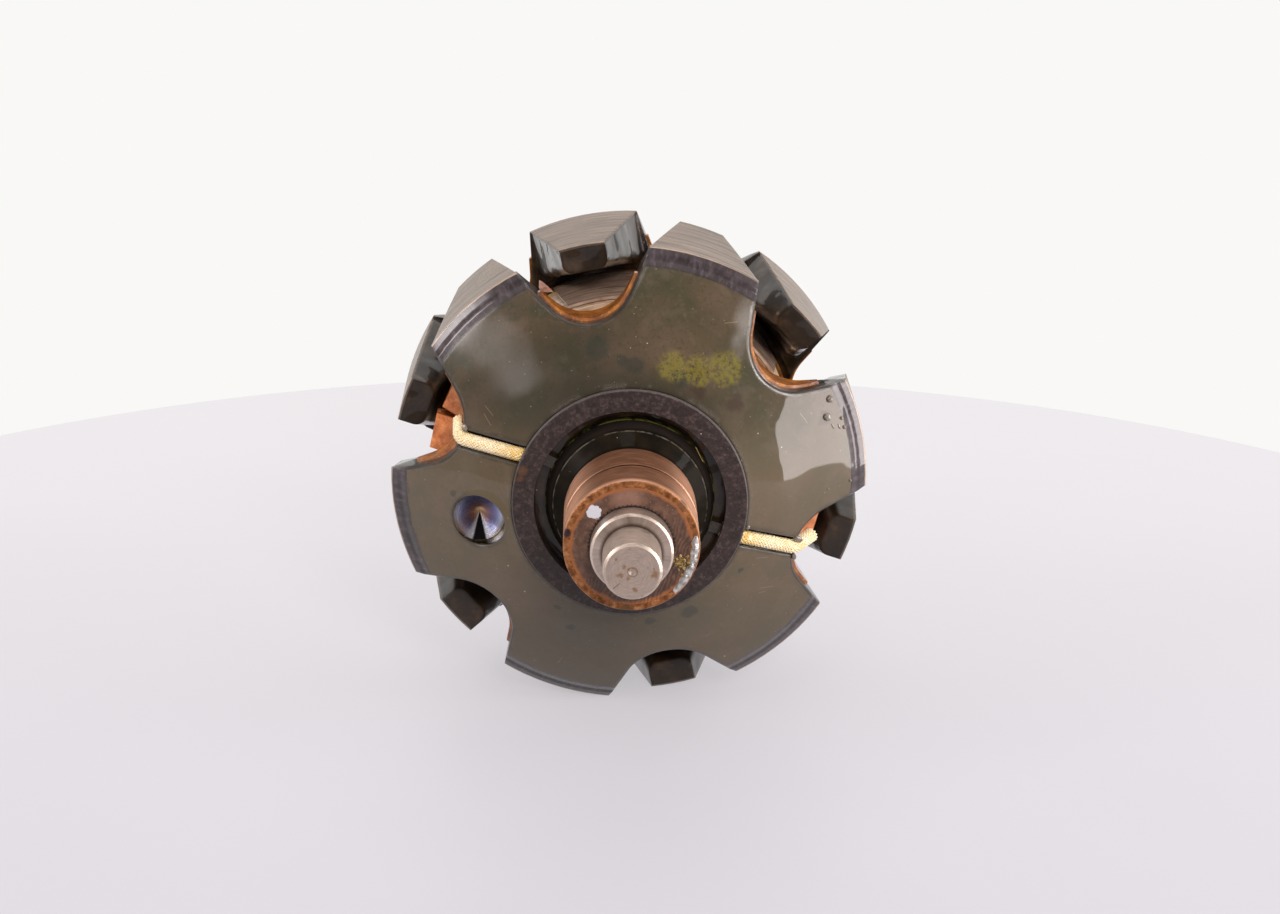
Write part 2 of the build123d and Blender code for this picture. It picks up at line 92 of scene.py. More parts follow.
def slope_at(r, angle):
    """Point in mm on the front pole's sloping face."""
    return at(r, angle, POLE_FACE_Y + (r - RETAINER_R) * CONE_SLOPE)


class Tree:
    """Adds nodes to one shader or geometry tree and joins them up."""

    def __init__(self, tree):
        self.tree, self.nodes, self.links = tree, tree.nodes, tree.links

    def put(self, socket, value):
        if isinstance(value, bpy.types.NodeSocket):
            self.links.new(value, socket)
        elif value is not None:
            socket.default_value = value

    def put_all(self, sockets, values):
        for socket, value in zip(sockets, values):
            self.put(socket, value)

    def add(self, kind, settings=(), **inputs):
        node = self.nodes.new(kind)
        for key, value in dict(settings).items():
            setattr(node, key, value)
        for key, value in inputs.items():
            self.put(node.inputs[key.replace("_", " ")], value)
        return node

    def math(self, operation, *values):
        node = self.add("ShaderNodeMath", {"operation": operation})
        self.put_all(node.inputs, values)
        return node.outputs[0]

    def plus(self, a, b):
        return self.math("ADD", a, b)

    def minus(self, a, b):
        return self.math("SUBTRACT", a, b)

    def over(self, a, b):
        return self.math("DIVIDE", a, b)

    def times(self, total, *others):
        """Product of numbers; of masks it leaves where all of them are."""
        for other in others:
            total = self.math("MULTIPLY", total, other)
        return total

    def either(self, total, *others):
        """The greatest; of masks it leaves where any of them is."""
        for other in others:
            total = self.math("MAXIMUM", total, other)
        return total

    def off(self, mask):
        return self.minus(1.0, mask)

    def gap(self, a, b):
        return self.math("ABSOLUTE", self.minus(a, b))

    def wave(self, *parts):
        return self.math("SINE", self.plus(*parts))

    def vector(self, operation, *values, out=0):
        node = self.add("ShaderNodeVectorMath", {"operation": operation})
        self.put_all(node.inputs, values)
        return node.outputs[out]

    def length(self, vector):
        return self.vector("LENGTH", vector, out=1)

    def scaled(self, vector, factor):
        node = self.add("ShaderNodeVectorMath", {"operation": "SCALE"}, Scale=factor)
        self.put(node.inputs[0], vector)
        return node.outputs[0]

    def mix(self, factor, a, b, blend="MIX"):
        """Mix two colours; a plain one is given as for tone."""
        node = self.add("ShaderNodeMix", {"data_type": "RGBA", "blend_type": blend})
        for index, value in ((0, factor), (6, a), (7, b)):
            self.put(node.inputs[index], tone(*value) if isinstance(value, tuple) else value)
        return node.outputs[2]

    def layers(self, base, *layers):
        """Lay colours over a base in turn: (mask, colour) or (mask, colour, strength) each."""
        for mask, colour, *strength in layers:
            base = self.mix(self.times(mask, *strength), base, colour)
        return base

    def blend(self, factor, a, b):
        node = self.add("ShaderNodeMix", {"data_type": "FLOAT"})
        for index, value in ((0, factor), (2, a), (3, b)):
            self.put(node.inputs[index], value)
        return node.outputs[0]

    def fade(self, value, low, high, out_low=0.0, out_high=1.0):
        node = self.add("ShaderNodeMapRange", {"interpolation_type": "SMOOTHSTEP"})
        self.put_all(node.inputs, (value, low, high, out_low, out_high))
        return node.outputs[0]

    def line(self, value, middle, far, close):
        """Mask of a line at a middle value, full when close and gone when far."""
        return self.fade(self.gap(value, middle), far, close)

    def ramp(self, factor, *stops):
        """Colour ramp through (place, red, green, blue) stops, with the colours as for tone."""
        node = self.add("ShaderNodeValToRGB")
        marks = node.color_ramp.elements
        while len(marks) < len(stops):
            marks.new(0.5)
        for mark, (place, *colour) in zip(marks, stops):
            mark.position, mark.color = place, tone(*colour)
        self.put(node.inputs[0], factor)
        return node.outputs[0]

    def noise(self, vector, scale, detail=2.0, rough=0.5, out=0):
        return self.add("ShaderNodeTexNoise", Vector=vector, Scale=scale, Detail=detail,
                        Roughness=rough).outputs[out]

    def split(self, vector):
        return self.add("ShaderNodeSeparateXYZ", Vector=vector).outputs

    def join(self, x, y, z=0.0):
        return self.add("ShaderNodeCombineXYZ", X=x, Y=y, Z=z).outputs[0]

    def group(self, tree, **inputs):
        return self.add("ShaderNodeGroup", {"node_tree": tree}, **inputs).outputs

    def geo(self, kind, settings=(), **inputs):
        return self.add("GeometryNode" + kind, settings, **inputs).outputs[0]

    def tube(self, line, radius, sides, caps=True):
        """A round bar along a curve."""
        section = self.geo("CurvePrimitiveCircle", Resolution=sides, Radius=radius)
        return self.geo("CurveToMesh", Curve=line, Profile_Curve=section, Fill_Caps=caps)

    def chance(self, seed, low, high):
        """Random numbers between two others, or random vectors between two others."""
        vectors = isinstance(low, tuple)
        node = self.add("FunctionNodeRandomValue",
                        {"data_type": "FLOAT_VECTOR" if vectors else "FLOAT"}, Seed=seed)
        self.put_all(node.inputs[0 if vectors else 2:], (low, high))
        return node.outputs[0 if vectors else 1]


KINDS = {"number": "NodeSocketFloat", "vector": "NodeSocketVector", "whole": "NodeSocketInt",
         "mesh": "NodeSocketGeometry", "finish": "NodeSocketMaterial"}


def new_group(name, inputs, outputs, kind="ShaderNodeTree"):
    """An empty node group with its named inputs and outputs, and its two end nodes."""
    tree = bpy.data.node_groups.new(name, kind)
    for label, sort, *default in inputs:
        socket = tree.interface.new_socket(label, in_out="INPUT", socket_type=KINDS[sort])
        if default:
            socket.default_value = default[0]
    for label, sort in outputs:
        tree.interface.new_socket(label, in_out="OUTPUT", socket_type=KINDS[sort])
    t = Tree(tree)
    return t, t.nodes.new("NodeGroupInput").outputs, t.nodes.new("NodeGroupOutput").inputs


# Shared effects

def make_place_group():
    """Where a point lies on the rotor, in mm: radius, turns round the shaft, and station."""
    t, _, out = new_group("place_on_rotor", [], [
        ("Point", "vector"), ("Radius", "number"), ("Turn", "number"), ("Station", "number"),
        ("Folded", "number")])
    point = t.scaled(t.add("ShaderNodeTexCoord").outputs["Object"], 1 / MM)
    x, y, z = t.split(point)
    radius = t.math("SQRT", t.plus(t.times(x, x), t.times(z, z)))
    turn = t.over(t.math("ARCTAN2", z, x), 2 * math.pi)
    t.put_all(out, (point, radius, turn, y, t.minus(MID_Y, t.gap(y, MID_Y))))
    return t.tree


def make_specks_group():
    """Small round specks, scattered one to a cell: dust, pin holes and spatter."""
    t, given, out = new_group("scattered_specks", [
        ("Point", "vector"), ("Per mm", "number", 0.5), ("Share", "number", 0.3),
        ("Size", "number", 0.15)], [("Mask", "number")])
    cell = t.add("ShaderNodeTexVoronoi", Vector=given["Point"], Scale=given["Per mm"])
    pick, big, _ = t.split(cell.outputs["Color"])
    size = t.times(given["Size"], given["Per mm"], t.plus(big, 0.35))
    near = t.fade(cell.outputs["Distance"], size, t.times(size, 0.5))
    t.put(out["Mask"], t.times(near, t.math("LESS_THAN", pick, given["Share"])))
    return t.tree


def make_streak_group():
    """A line from one point to another: a scratch, a run of lacquer or a smear."""
    t, given, out = new_group("streak", [
        ("Point", "vector"), ("From", "vector"), ("To", "vector"),
        ("Width", "number", 0.1)], [("Mask", "number")])
    ap = t.vector("SUBTRACT", given["Point"], given["From"])
    ab = t.vector("SUBTRACT", given["To"], given["From"])
    share = t.over(t.vector("DOT_PRODUCT", ap, ab, out=1), t.vector("DOT_PRODUCT", ab, ab, out=1))
    share = t.math("MINIMUM", t.either(share, 0.0), 1.0)
    away = t.length(t.vector("SUBTRACT", ap, t.scaled(ab, share)))
    t.put(out["Mask"], t.fade(away, given["Width"], t.times(given["Width"], 0.4)))
    return t.tree


def make_blotch_group():
    """A ragged round patch: a stain, a touch of paint or a patch of colour."""
    t, given, out = new_group("blotch", [
        ("Point", "vector"), ("Centre", "vector"), ("Size", "number", 2.0),
        ("Rag", "number", 0.5), ("Grain", "number", 0.6), ("Soft", "number", 0.3)],
        [("Mask", "number")])
    shift = t.vector("SUBTRACT", t.noise(given["Point"], given["Grain"], 3, out=1), HALF)
    bent = t.vector("ADD", given["Point"], t.scaled(shift, given["Rag"]))
    away = t.vector("DISTANCE", bent, given["Centre"], out=1)
    inner = t.times(given["Size"], t.off(given["Soft"]))
    t.put(out["Mask"], t.fade(away, given["Size"], inner))
    return t.tree


def make_turned_group():
    """Fine lines that a lathe tool leaves round a turned face."""
    t, given, out = new_group("turned_lines", [
        ("Feed", "number", 0.0), ("Turn", "number", 0.0), ("Lines per mm", "number", 2.0)],
        [("Lines", "number")])
    along = t.join(t.times(given["Feed"], given["Lines per mm"]), t.times(given["Turn"], 14.0))
    t.put(out["Lines"], t.noise(along, 1.0, 5, 0.72))
    return t.tree


def make_varnish_group():
    """The uneven skin of dipped varnish: slow lumps with a little fine grain."""
    t, given, out = new_group("varnish_skin", [
        ("Point", "vector"), ("Lump size", "number", 6.0), ("Grain", "number", 0.03)],
        [("Height", "number")])
    slow = t.noise(given["Point"], t.over(1.0, given["Lump size"]), 1.0, 0.4)
    fine = t.noise(given["Point"], 2.2, 2.0, 0.5)
    t.put(out["Height"], t.plus(slow, t.times(fine, given["Grain"])))
    return t.tree


PLACE = make_place_group()
SPECKS = make_specks_group()
STREAK = make_streak_group()
BLOTCH = make_blotch_group()
TURNED = make_turned_group()
VARNISH = make_varnish_group()


class Finish(Tree):
    """One material: a Principled shader with the rotor's coordinates to hand."""

    def __init__(self, name, **plain):
        self.material = bpy.data.materials.new(name)
        self.material.use_nodes = True
        super().__init__(self.material.node_tree)
        self.shader = self.nodes["Principled BSDF"]
        self.set(**plain)
        self.point, self.radius, self.turn, self.station, self.folded = self.group(PLACE)

    def set(self, **inputs):
        for key, value in inputs.items():
            self.put(self.shader.inputs[key.replace("_", " ")], value)
        return self.material

    def cloud(self, scale, detail=2.0, rough=0.5):
        return self.noise(self.point, scale, detail, rough)

    def patches(self, scale, low, high, detail=2.0, rough=0.5):
        """Mask of the cloud's parts above a level."""
        return self.fade(self.cloud(scale, detail, rough), low, high)

    def specks(self, per_mm, share, size):
        return self.group(SPECKS, Point=self.point, Per_mm=per_mm, Share=share,
                          Size=size)["Mask"]

    def streak(self, start, end, width):
        return self.group(STREAK, Point=self.point, From=tuple(start), To=tuple(end),
                          Width=width)["Mask"]

    def blotch(self, centre, size, rag=0.8, grain=0.6, soft=0.35):
        return self.group(BLOTCH, Point=self.point, Centre=tuple(centre), Size=size, Rag=rag,
                          Grain=grain, Soft=soft)["Mask"]

    def turned(self, feed, lines_per_mm):
        return self.group(TURNED, Feed=feed, Turn=self.turn, Lines_per_mm=lines_per_mm)["Lines"]

    def varnish(self, lump_size, grain):
        return self.group(VARNISH, Point=self.point, Lump_size=lump_size, Grain=grain)["Height"]

    def on_faces(self, radius, folded):
        """Masks of a pole's sloping face and of its bevel."""
        slope = self.plus(self.times(radius, CONE_SLOPE), CONE_AXIS_Y)
        bevel = self.plus(radius, CONE_END_Y - CONE_R)
        return self.line(folded, slope, 1.0, 0.45), self.line(folded, bevel, 0.7, 0.35)

    def fall(self, past, rate):
        """A height that falls with the square of the distance past a line."""
        past = self.either(past, 0.0)
        return self.times(past, past, -rate)

    def coat_place(self):
        """Point, radius and station again, from the material's own nodes, for its clear coat."""
        point = self.scaled(self.add("ShaderNodeTexCoord").outputs["Object"], 1 / MM)
        return point, self.length(self.vector("MULTIPLY", point, ACROSS)), self.split(point)[1]

    def coat_skin(self, lump_size, grain, depth_mm):
        """Uneven skin of the clear coat, for materials that are dipped or brushed."""
        point, _, _ = self.coat_place()
        lumps = self.noise(point, 1.0 / lump_size, 1.0, 0.4)
        fine = self.times(self.noise(point, 2.2, 2.0, 0.5), grain)
        return self.bump(self.plus(lumps, fine), depth_mm)

    def bump(self, height, depth_mm, normal=None):
        return self.add("ShaderNodeBump", Height=height, Distance=depth_mm * MM,
                        Normal=normal).outputs[0]

    def rounded(self, radius, samples=4):
        """Normal with the edges rounded off."""
        return self.add("ShaderNodeBevel", {"samples": samples}, Radius=radius).outputs[0]


# Marks on the front pole's sloping face: (radius, angle, size)
GREEN_SPOTS = [(29.0, -63.3, 2.3), (28.2, -81.0, 1.5), (28.9, 68.3, 2.6), (29.3, -122.3, 1.0),
               (32.9, -113.1, 1.3), (38.0, -179.2, 1.0), (29.6, 88.0, 2.4), (30.6, 93.0, 1.8),
               (28.8, -34.4, 1.0), (33.5, 102.0, 3.4)]
BROWN_SPOTS = [(28.3, 58.6, 2.2), (31.5, 62.5, 2.6), (45.0, 19.5, 2.2), (30.8, 43.0, 2.6)]
# The smeared ink stamp: (radius, angle, size, rag, soft)
INK = [(30.6, 72.5, 4.2, 2.4, 0.45), (31.6, 62.5, 4.2, 2.6, 0.4), (34.6, 54.0, 4.6, 2.6, 0.4)]
# Scratches: (radius, angle) to (radius, angle), and width
SCRATCHES = [(37.6, -63.8, 36.3, -47.4, 0.112), (36.0, -37.8, 38.4, -35.2, 0.096),
             (36.6, -39.6, 37.6, -38.0, 0.08), (30.8, -27.0, 33.0, -25.6, 0.096),
             (42.0, 61.0, 43.4, 58.0, 0.096), (33.5, 152.0, 35.8, 150.0, 0.096),
             (34.1, 148.5, 36.5, 147.5, 0.08), (42.4, -110.5, 44.2, -110.9, 0.112),
             (40.4, 24.8, 41.0, 21.0, 0.128)]


def pole_finish(name, hole_angle, front):
    """Lacquered pole: sloping face, bevel, bare turned outside and drilled balance hole."""
    f = Finish(name, Coat_Roughness=0.035, IOR=1.5, Coat_IOR=1.5, Specular_IOR_Level=0.12)
    r, fold = f.radius, f.folded
    x, _, z = f.split(f.point)
    own_normal = f.add("ShaderNodeNewGeometry").outputs["Normal"]
    on_cone, on_bevel = f.on_faces(r, fold)
    on_cone = f.times(on_cone, f.fade(r, ROTOR_R + 0.5, CONE_R + 0.3),
                      f.fade(f.math("ABSOLUTE", f.split(own_normal)[1]), 0.68, 0.84))
    wander = f.times(f.minus(f.cloud(0.4, 3), 0.5), 1.8)
    on_bevel = f.times(on_bevel, f.fade(f.plus(r, wander), CONE_R - 0.5, CONE_R + 0.7))
    on_outside = f.fade(f.plus(r, f.times(wander, 0.1)), ROTOR_R - 0.38, ROTOR_R - 0.2)

    # Lacquered slope: olive and brown clouds, dark spots, ink and dust
    grime = f.cloud(1.3, 5, 0.7)
    shifted = f.noise(f.vector("ADD", f.point, (31.0, 7.0, 12.0)), 0.11, 4, 0.6)
    slope = f.layers(
        f.ramp(f.cloud(0.055, 3, 0.55), (0.34, 60, 55, 36), (0.5, 72, 61, 43),
               (0.66, 84, 68, 53)),
        (f.fade(shifted, 0.5, 0.66), (50, 52, 34), 0.65),
        (f.fade(grime, 0.5, 0.7), (48, 44, 30), 0.6),
        (f.patches(0.16, 0.5, 0.66, 4, 0.6), (98, 84, 70), 0.3),
        (f.patches(0.7, 0.56, 0.7, 3, 0.6), (96, 88, 70), 0.2))
    if front:
        # Painted shade: the upper part is darker by the ring and at the upper left. Painted light:
        # the lower part is lighter.
        upper = f.fade(z, 4.0, 24.0)
        slope = f.layers(
            slope,
            (f.times(f.fade(r, 33.0, 25.5), upper), (38, 36, 22), 0.7),
            (f.times(f.fade(x, 10.0, -8.0), f.fade(r, 45.0, 35.0), upper), (38, 36, 24), 0.45),
            (f.off(upper), (108, 93, 70), 0.45))
        for spots, rag, grain, soft, colour, strength in (
                (GREEN_SPOTS, 1.6, 0.5, 0.5, (28, 38, 32), 0.5),
                (BROWN_SPOTS, 3.0, 0.4, 0.6, (48, 30, 22), 0.6)):
            slope = f.layers(slope, *(
                (f.blotch(slope_at(radius, angle), size, rag, grain, soft), colour, strength)
                for radius, angle, size in spots))
        ink = f.either(*(f.blotch(slope_at(radius, angle), size, rag, 0.5, soft)
                         for radius, angle, size, rag, soft in INK))
        slope = f.layers(slope, (f.times(ink, f.patches(1.1, 0.38, 0.56, 5, 0.75)),
                                 (122, 114, 28), 0.5))
    dust = f.specks(0.34, 0.36, 0.2)
    # At the rims of the hollows the lacquer rolls over: a dark band of painted shade with a
    # painted highlight line along it
    turned_in = f.off(f.vector("DOT_PRODUCT", f.rounded(2.2 * MM, 6), own_normal, out=1))
    within = f.fade(r, 48.0, 46.5)
    slope = f.layers(
        slope,
        (f.specks(0.9, 0.22, 0.15), (140, 134, 120), 0.5),
        (dust, (196, 190, 176), 0.8),
        (f.times(f.fade(turned_in, 0.015, 0.05), within), (30, 27, 20), 0.6),
        (f.times(f.line(turned_in, 0.07, 0.025, 0.01), within, f.patches(0.25, 0.45, 0.55)),
         (140, 132, 124), 0.6))

    # Bevel: greyer, with drawn marks across it
    drawn = f.noise(f.join(f.times(f.turn, 260.0), f.times(r, 0.35)), 1.0, 3, 0.6)
    edge = f.layers(
        f.ramp(drawn, (0.34, 36, 28, 29), (0.5, 50, 41, 43), (0.66, 76, 66, 71)),
        (f.patches(0.12, 0.4, 0.65), (78, 68, 72), 0.35))
    # Outside: bare turned steel under a thin clear coat
    groove = f.wave(f.times(f.station, 8.4), f.times(f.cloud(0.3, 2), 1.6))
    lines = f.plus(f.blend(0.42, f.turned(f.station, 1.5), f.turned(f.station, 0.42)),
                   f.times(groove, 0.13))
    outside = f.layers(
        f.ramp(lines, (0.36, 30, 23, 18), (0.45, 84, 69, 57), (0.53, 126, 107, 91),
               (0.63, 180, 157, 136)),
        (f.patches(0.09, 0.4, 0.7, 3), (104, 88, 76), 0.3),
        (f.specks(0.35, 0.12, 0.3), (84, 58, 40), 0.5))
    # Sides and undersides of the claws: thick varnish, painted black-brown and darker than the
    # slope as painted shade
    side = f.layers(
        f.ramp(f.cloud(0.16, 3, 0.6), (0.35, 24, 17, 10), (0.55, 44, 32, 19),
               (0.72, 74, 54, 34)),
        (dust, (150, 146, 136), 0.4))

    # Balance hole: heat-tinted drill cone, with painted reflections: a white sector holding a
    # black wedge at the bottom, a dark sector at the top
    from_hole = f.vector("SUBTRACT", f.vector("MULTIPLY", f.point, ACROSS),
                         tuple(at(HOLE_AT_R, hole_angle, 0.0)))
    away = f.length(from_hole)
    above = f.minus(fold, f.plus(f.times(r, CONE_SLOPE), CONE_AXIS_Y))
    bore = f.times(f.fade(away, HOLE_R + 0.15, HOLE_R), f.fade(above, 0.35, 0.6),
                   f.math("LESS_THAN", fold, PLATE_Y + 6.0))
    hole_x, _, hole_z = f.split(from_hole)
    spin = f.over(f.math("ARCTAN2", hole_z, hole_x), 2 * math.pi)
    cut = f.noise(f.join(f.times(away, 5.0), f.times(spin, 5.0)), 1.0, 4, 0.7)
    facing = f.plus(spin, f.times(f.minus(cut, 0.5), 0.02))
    tint = f.layers(
        f.ramp(f.over(f.plus(away, f.times(cut, 0.5)), HOLE_R),
               (0.05, 200, 168, 122), (0.2, 188, 148, 116), (0.34, 150, 118, 116),
               (0.5, 118, 104, 132), (0.68, 122, 124, 164), (0.86, 168, 174, 202),
               (0.98, 132, 122, 112)),
        # painted reflections: white and black at the bottom of the cone, dark at its top
        (f.line(facing, -0.25, 0.11, 0.06), (232, 234, 242), 0.7),
        (f.line(facing, -0.25, 0.05, 0.036), (14, 12, 14)),
        (f.times(f.line(facing, 0.25, 0.2, 0.1), f.fade(away, 2.0, 4.2)), (40, 36, 44), 0.6),
        (f.fade(away, HOLE_R - 0.25, HOLE_R - 0.1), (88, 74, 44)))

    colour = f.layers(side, (on_cone, slope), (on_bevel, edge), (on_outside, outside),
                      (bore, tint))
    if front:
        # the drill first grazed the slope beside the hole
        grazed = f.length(f.vector("SUBTRACT", from_hole, (1.15, 0.0, 1.5)))
        colour = f.layers(
            colour, (f.times(f.fade(grazed, 5.9, 5.6), f.off(bore)), (84, 70, 34), 0.75),
            *((f.streak(slope_at(r1, a1), slope_at(r2, a2), width), (140, 128, 104), 0.55)
              for r1, a1, r2, a2, width in SCRATCHES))
    metal = f.blend(bore, f.blend(on_bevel, f.times(on_outside, 0.55), 0.35), 0.92)
    rough = f.blend(on_cone, 0.3, f.blend(grime, 0.3, 0.5))
    for mask, value in ((on_bevel, 0.42), (on_outside, f.blend(lines, 0.36, 0.5)), (bore, 0.26)):
        rough = f.blend(mask, rough, value)

    relief = f.rounded(f.blend(f.either(on_cone, on_bevel, on_outside, bore), 2.4 * MM, 0.6 * MM))
    for height, depth_mm in (
            (f.plus(f.times(f.varnish(9.0, 0.02), 0.25), f.times(lines, on_outside, 0.2)), 0.35),
            (f.times(cut, bore), 0.06), (f.times(drawn, on_bevel), 0.06),
            (f.times(f.fall(f.minus(r, KNEE_R), KNEE), on_cone), 1.0)):
        relief = f.bump(height, depth_mm, relief)
    # Clear coat: it pools flat toward the ring, rounds off past the knee, and runs on the claws
    point, coat_r, coat_y = f.coat_place()
    near_cone, near_bevel = f.on_faces(coat_r, f.minus(MID_Y, f.gap(coat_y, MID_Y)))
    flat = f.either(near_cone, near_bevel, f.fade(coat_r, ROTOR_R - 0.6, ROTOR_R - 0.3))
    form = f.plus(f.fall(f.minus(34.0, coat_r), 0.014), f.fall(f.minus(coat_r, KNEE_R), KNEE))
    pool = f.times(f.noise(point, 0.1, 1.5, 0.4), 0.24)
    runs = f.times(f.noise(point, 0.12, 1.5, 0.4), 1.3)
    coat = f.bump(f.plus(f.blend(flat, runs, pool), f.times(form, near_cone)), 1.0,
                  f.rounded(0.9 * MM))
    weight = f.blend(f.either(on_cone, on_bevel),
                     f.blend(f.either(on_outside, bore), 0.62, 0.25), f.blend(bore, 1.0, 0.25))
    return f.set(Base_Color=colour, Metallic=metal, Roughness=rough, Normal=relief,
                 Coat_Weight=weight, Coat_Normal=coat)


def shaft_finish():
    """Turned steel; the end face has a centre mark, rust freckles and a scratch."""
    f = Finish("turned_shaft_steel", Coat_Roughness=0.2)
    r, y = f.radius, f.station
    on_end = f.fade(y, TIP_Y + 0.25, TIP_Y + 0.1)
    grain = f.blend(on_end, f.turned(y, 3.4), f.turned(r, 3.0))
    base = f.ramp(grain, (0.28, 150, 136, 124), (0.52, 196, 180, 168), (0.76, 232, 220, 208))
    face = f.layers(
        base, (0.55, (190, 170, 154)), (f.line(r, 0.95, 0.22, 0.08), (120, 92, 60), 0.5),
        *((f.blotch((x, TIP_Y, z), size, 1.3, 1.1, 0.7), (150, 104, 50), 0.66)
          for x, z, size in ((-2.5, -0.6, 0.8), (4.4, -0.6, 1.15), (0.5, -3.8, 0.75),
                             (-1.6, 1.1, 0.6), (0.3, 0.2, 0.9), (4.2, 0.6, 0.5),
                             (-0.9, -1.4, 0.6), (-0.8, 0.6, 0.5))),
        (f.streak((-3.9, TIP_Y, -3.5), (-2.6, TIP_Y, -2.4), 0.09), (70, 58, 46), 0.8))
    stain = f.noise(f.vector("MULTIPLY", f.point, (1.0, 0.5, 1.0)), 0.42, 4, 0.65)
    shoulder = f.times(f.fade(y, 5.4, 5.0), f.fade(y, 4.6, 4.9), f.fade(r, 6.9, 6.1))
    colour = f.layers(
        base, (on_end, face), (f.fade(stain, 0.6, 0.78), (126, 100, 72), 0.55),
        (shoulder, (74, 62, 50), 0.75),
        (f.fade(y, THREAD_Y, THREAD_Y + 1.6), (92, 86, 78), 0.45),
        (f.specks(0.55, 0.22, 0.32), (112, 80, 50), 0.4))
    return f.set(Base_Color=colour, Metallic=f.blend(stain, 1.0, 0.8), Normal=f.bump(grain, 0.03),
                 Roughness=f.blend(on_end, f.blend(grain, 0.34, 0.5), 0.5))


def slip_ring_finish():
    """Copper worn by brushes, darker in the groove and on the bevels."""
    f = Finish("worn_slip_copper", Specular_IOR_Level=0.2, Anisotropic=0.8)
    y = f.station
    lines, cloud = f.turned(y, 2.8), f.cloud(0.13, 3, 0.6)
    top = f.times(f.fade(f.split(f.point)[2], 7.0, 13.0), f.fade(y, HUB_FACE_Y + 0.3, 12.0))
    drawn_out = f.noise(f.vector("MULTIPLY", f.point, (0.4, 2.0, 0.4)), 0.6, 3, 0.6)
    lip = f.either(f.line(y, GROOVE_Y, 0.85, 0.75),
                   f.fade(y, HUB_FACE_Y + 0.5, HUB_FACE_Y + 0.3))
    end = f.fade(y, HUB_FACE_Y + 0.3, HUB_FACE_Y + 0.12)
    colour = f.layers(
        f.ramp(lines, (0.3, 214, 150, 116), (0.5, 244, 188, 154), (0.72, 252, 216, 188)),
        (f.fade(f.turned(y, 0.55), 0.5, 0.68), (170, 112, 82), 0.35),
        (f.fade(cloud, 0.5, 0.68), (160, 106, 78), 0.25),
        # painted reflection: the top of the rings is painted dark brown, as the dark pole above
        # would show in the copper
        (top, f.ramp(drawn_out, (0.36, 78, 46, 28), (0.52, 108, 68, 44), (0.66, 138, 92, 64)),
         0.85),
        # dull edges of the tracks that the brushes have worn
        *((f.line(y, station, 0.34, 0.08), (120, 70, 46), 0.55)
          for station in (12.4, 18.6, 23.2, 29.4)),
        (lip, (66, 40, 26), 0.35), (f.line(y, GROOVE_Y, 0.6, 0.5), (30, 18, 12), 0.95),
        (end, f.ramp(f.cloud(0.9, 4, 0.65), (0.36, 98, 60, 34), (0.52, 144, 92, 54),
                     (0.68, 180, 126, 84))),
        *((f.blotch(at(SLIP_R - 0.3, angle, HUB_FACE_Y + 0.2), size, 1.0, 0.8, 0.4), stain, 0.85)
          for angle, size, stain in ((167.5, 1.1, (36, 36, 48)), (40.0, 1.4, (120, 84, 62)),
                                     (-95.0, 1.5, (104, 76, 48)))))
    round_shaft = f.add("ShaderNodeTangent", {"direction_type": "RADIAL", "axis": "Y"})
    return f.set(Base_Color=colour, Metallic=f.blend(end, 0.55, 0.4),
                 Roughness=f.blend(end, f.blend(lines, 0.36, 0.5), 0.5),
                 Normal=f.bump(f.plus(lines, f.times(cloud, 0.5)), 0.05),
                 Tangent=round_shaft.outputs[0])


def hub_finish():
    """Machined brown moulding: wavy saw-like grain, orange skin near the copper."""
    f = Finish("brown_hub_moulding", Coat_Weight=0.25, Coat_Roughness=0.3)
    x, _, z = f.split(f.point)
    run = f.plus(f.times(x, 0.93), f.times(z, -0.36))
    saw = f.wave(f.times(run, 8.2), f.times(f.cloud(0.22, 2), 22.0))
    ridges = f.times(f.fade(saw, -0.9, 0.9), f.fade(f.minus(z, f.times(x, 0.6)), 3.0, -6.0))
    ragged = f.plus(f.radius, f.times(f.cloud(0.4, 4, 0.6), 1.8))
    dot = f.blotch(at(10.65, 135.7, HUB_FACE_Y), 1.55, 1.5, 1.1, 0.12)
    colour = f.layers(
        f.ramp(f.cloud(0.7, 4, 0.6), (0.35, 70, 48, 36), (0.65, 104, 75, 58)),
        (ridges, (58, 36, 26), 0.62),
        # painted sheen: a pale pinkish patch on the top of the hub face
        (f.blotch(at(10.6, 95.0, HUB_FACE_Y), 5.0, 2.0, 0.4, 0.8), (162, 122, 106), 0.4),
        (f.fade(ragged, HUB_R, HUB_R + 0.7), (142, 86, 44)),
        (f.specks(1.1, 0.3, 0.18), (160, 130, 112), 0.5), (dot, (200, 201, 208)))
    return f.set(Base_Color=colour, Roughness=f.blend(dot, 0.5, 0.75),
                 Normal=f.bump(f.minus(f.cloud(1.6, 3), f.times(ridges, 0.7)), 0.1))


def flange_finish():
    """Black varnished moulding, with thin olive and grey lines painted as highlights on its edges.
    """
    f = Finish("black_flange_moulding", Coat_Weight=0.03, Coat_Roughness=0.1,
               Specular_IOR_Level=0.04, Roughness=0.5)
    r, broken = f.radius, f.patches(0.5, 0.4, 0.6, 3)
    base = f.layers(
        f.ramp(f.cloud(0.3, 3), (0.3, 14, 11, 7), (0.7, 30, 24, 15)),
        # painted highlights: thin olive and grey lines on the flange's edges, and a painted
        # purple-grey sheen on the face between them
        *((f.times(f.line(r, radius, 0.16, 0.05), broken), colour, strength)
          for radius, colour, strength in ((18.0, (92, 92, 40), 0.6),
                                           (16.4, (110, 104, 92), 0.5))),
        (f.times(f.fade(r, 16.6, 17.0), f.fade(r, 18.0, 17.6)), (54, 48, 50), 0.25),
        (f.specks(0.7, 0.2, 0.16), (150, 146, 130), 0.7))
    return f.set(Base_Color=base, Normal=f.bump(f.varnish(3.0, 0.08), 0.12),
                 Coat_Normal=f.coat_skin(4.0, 0.02, 0.2))


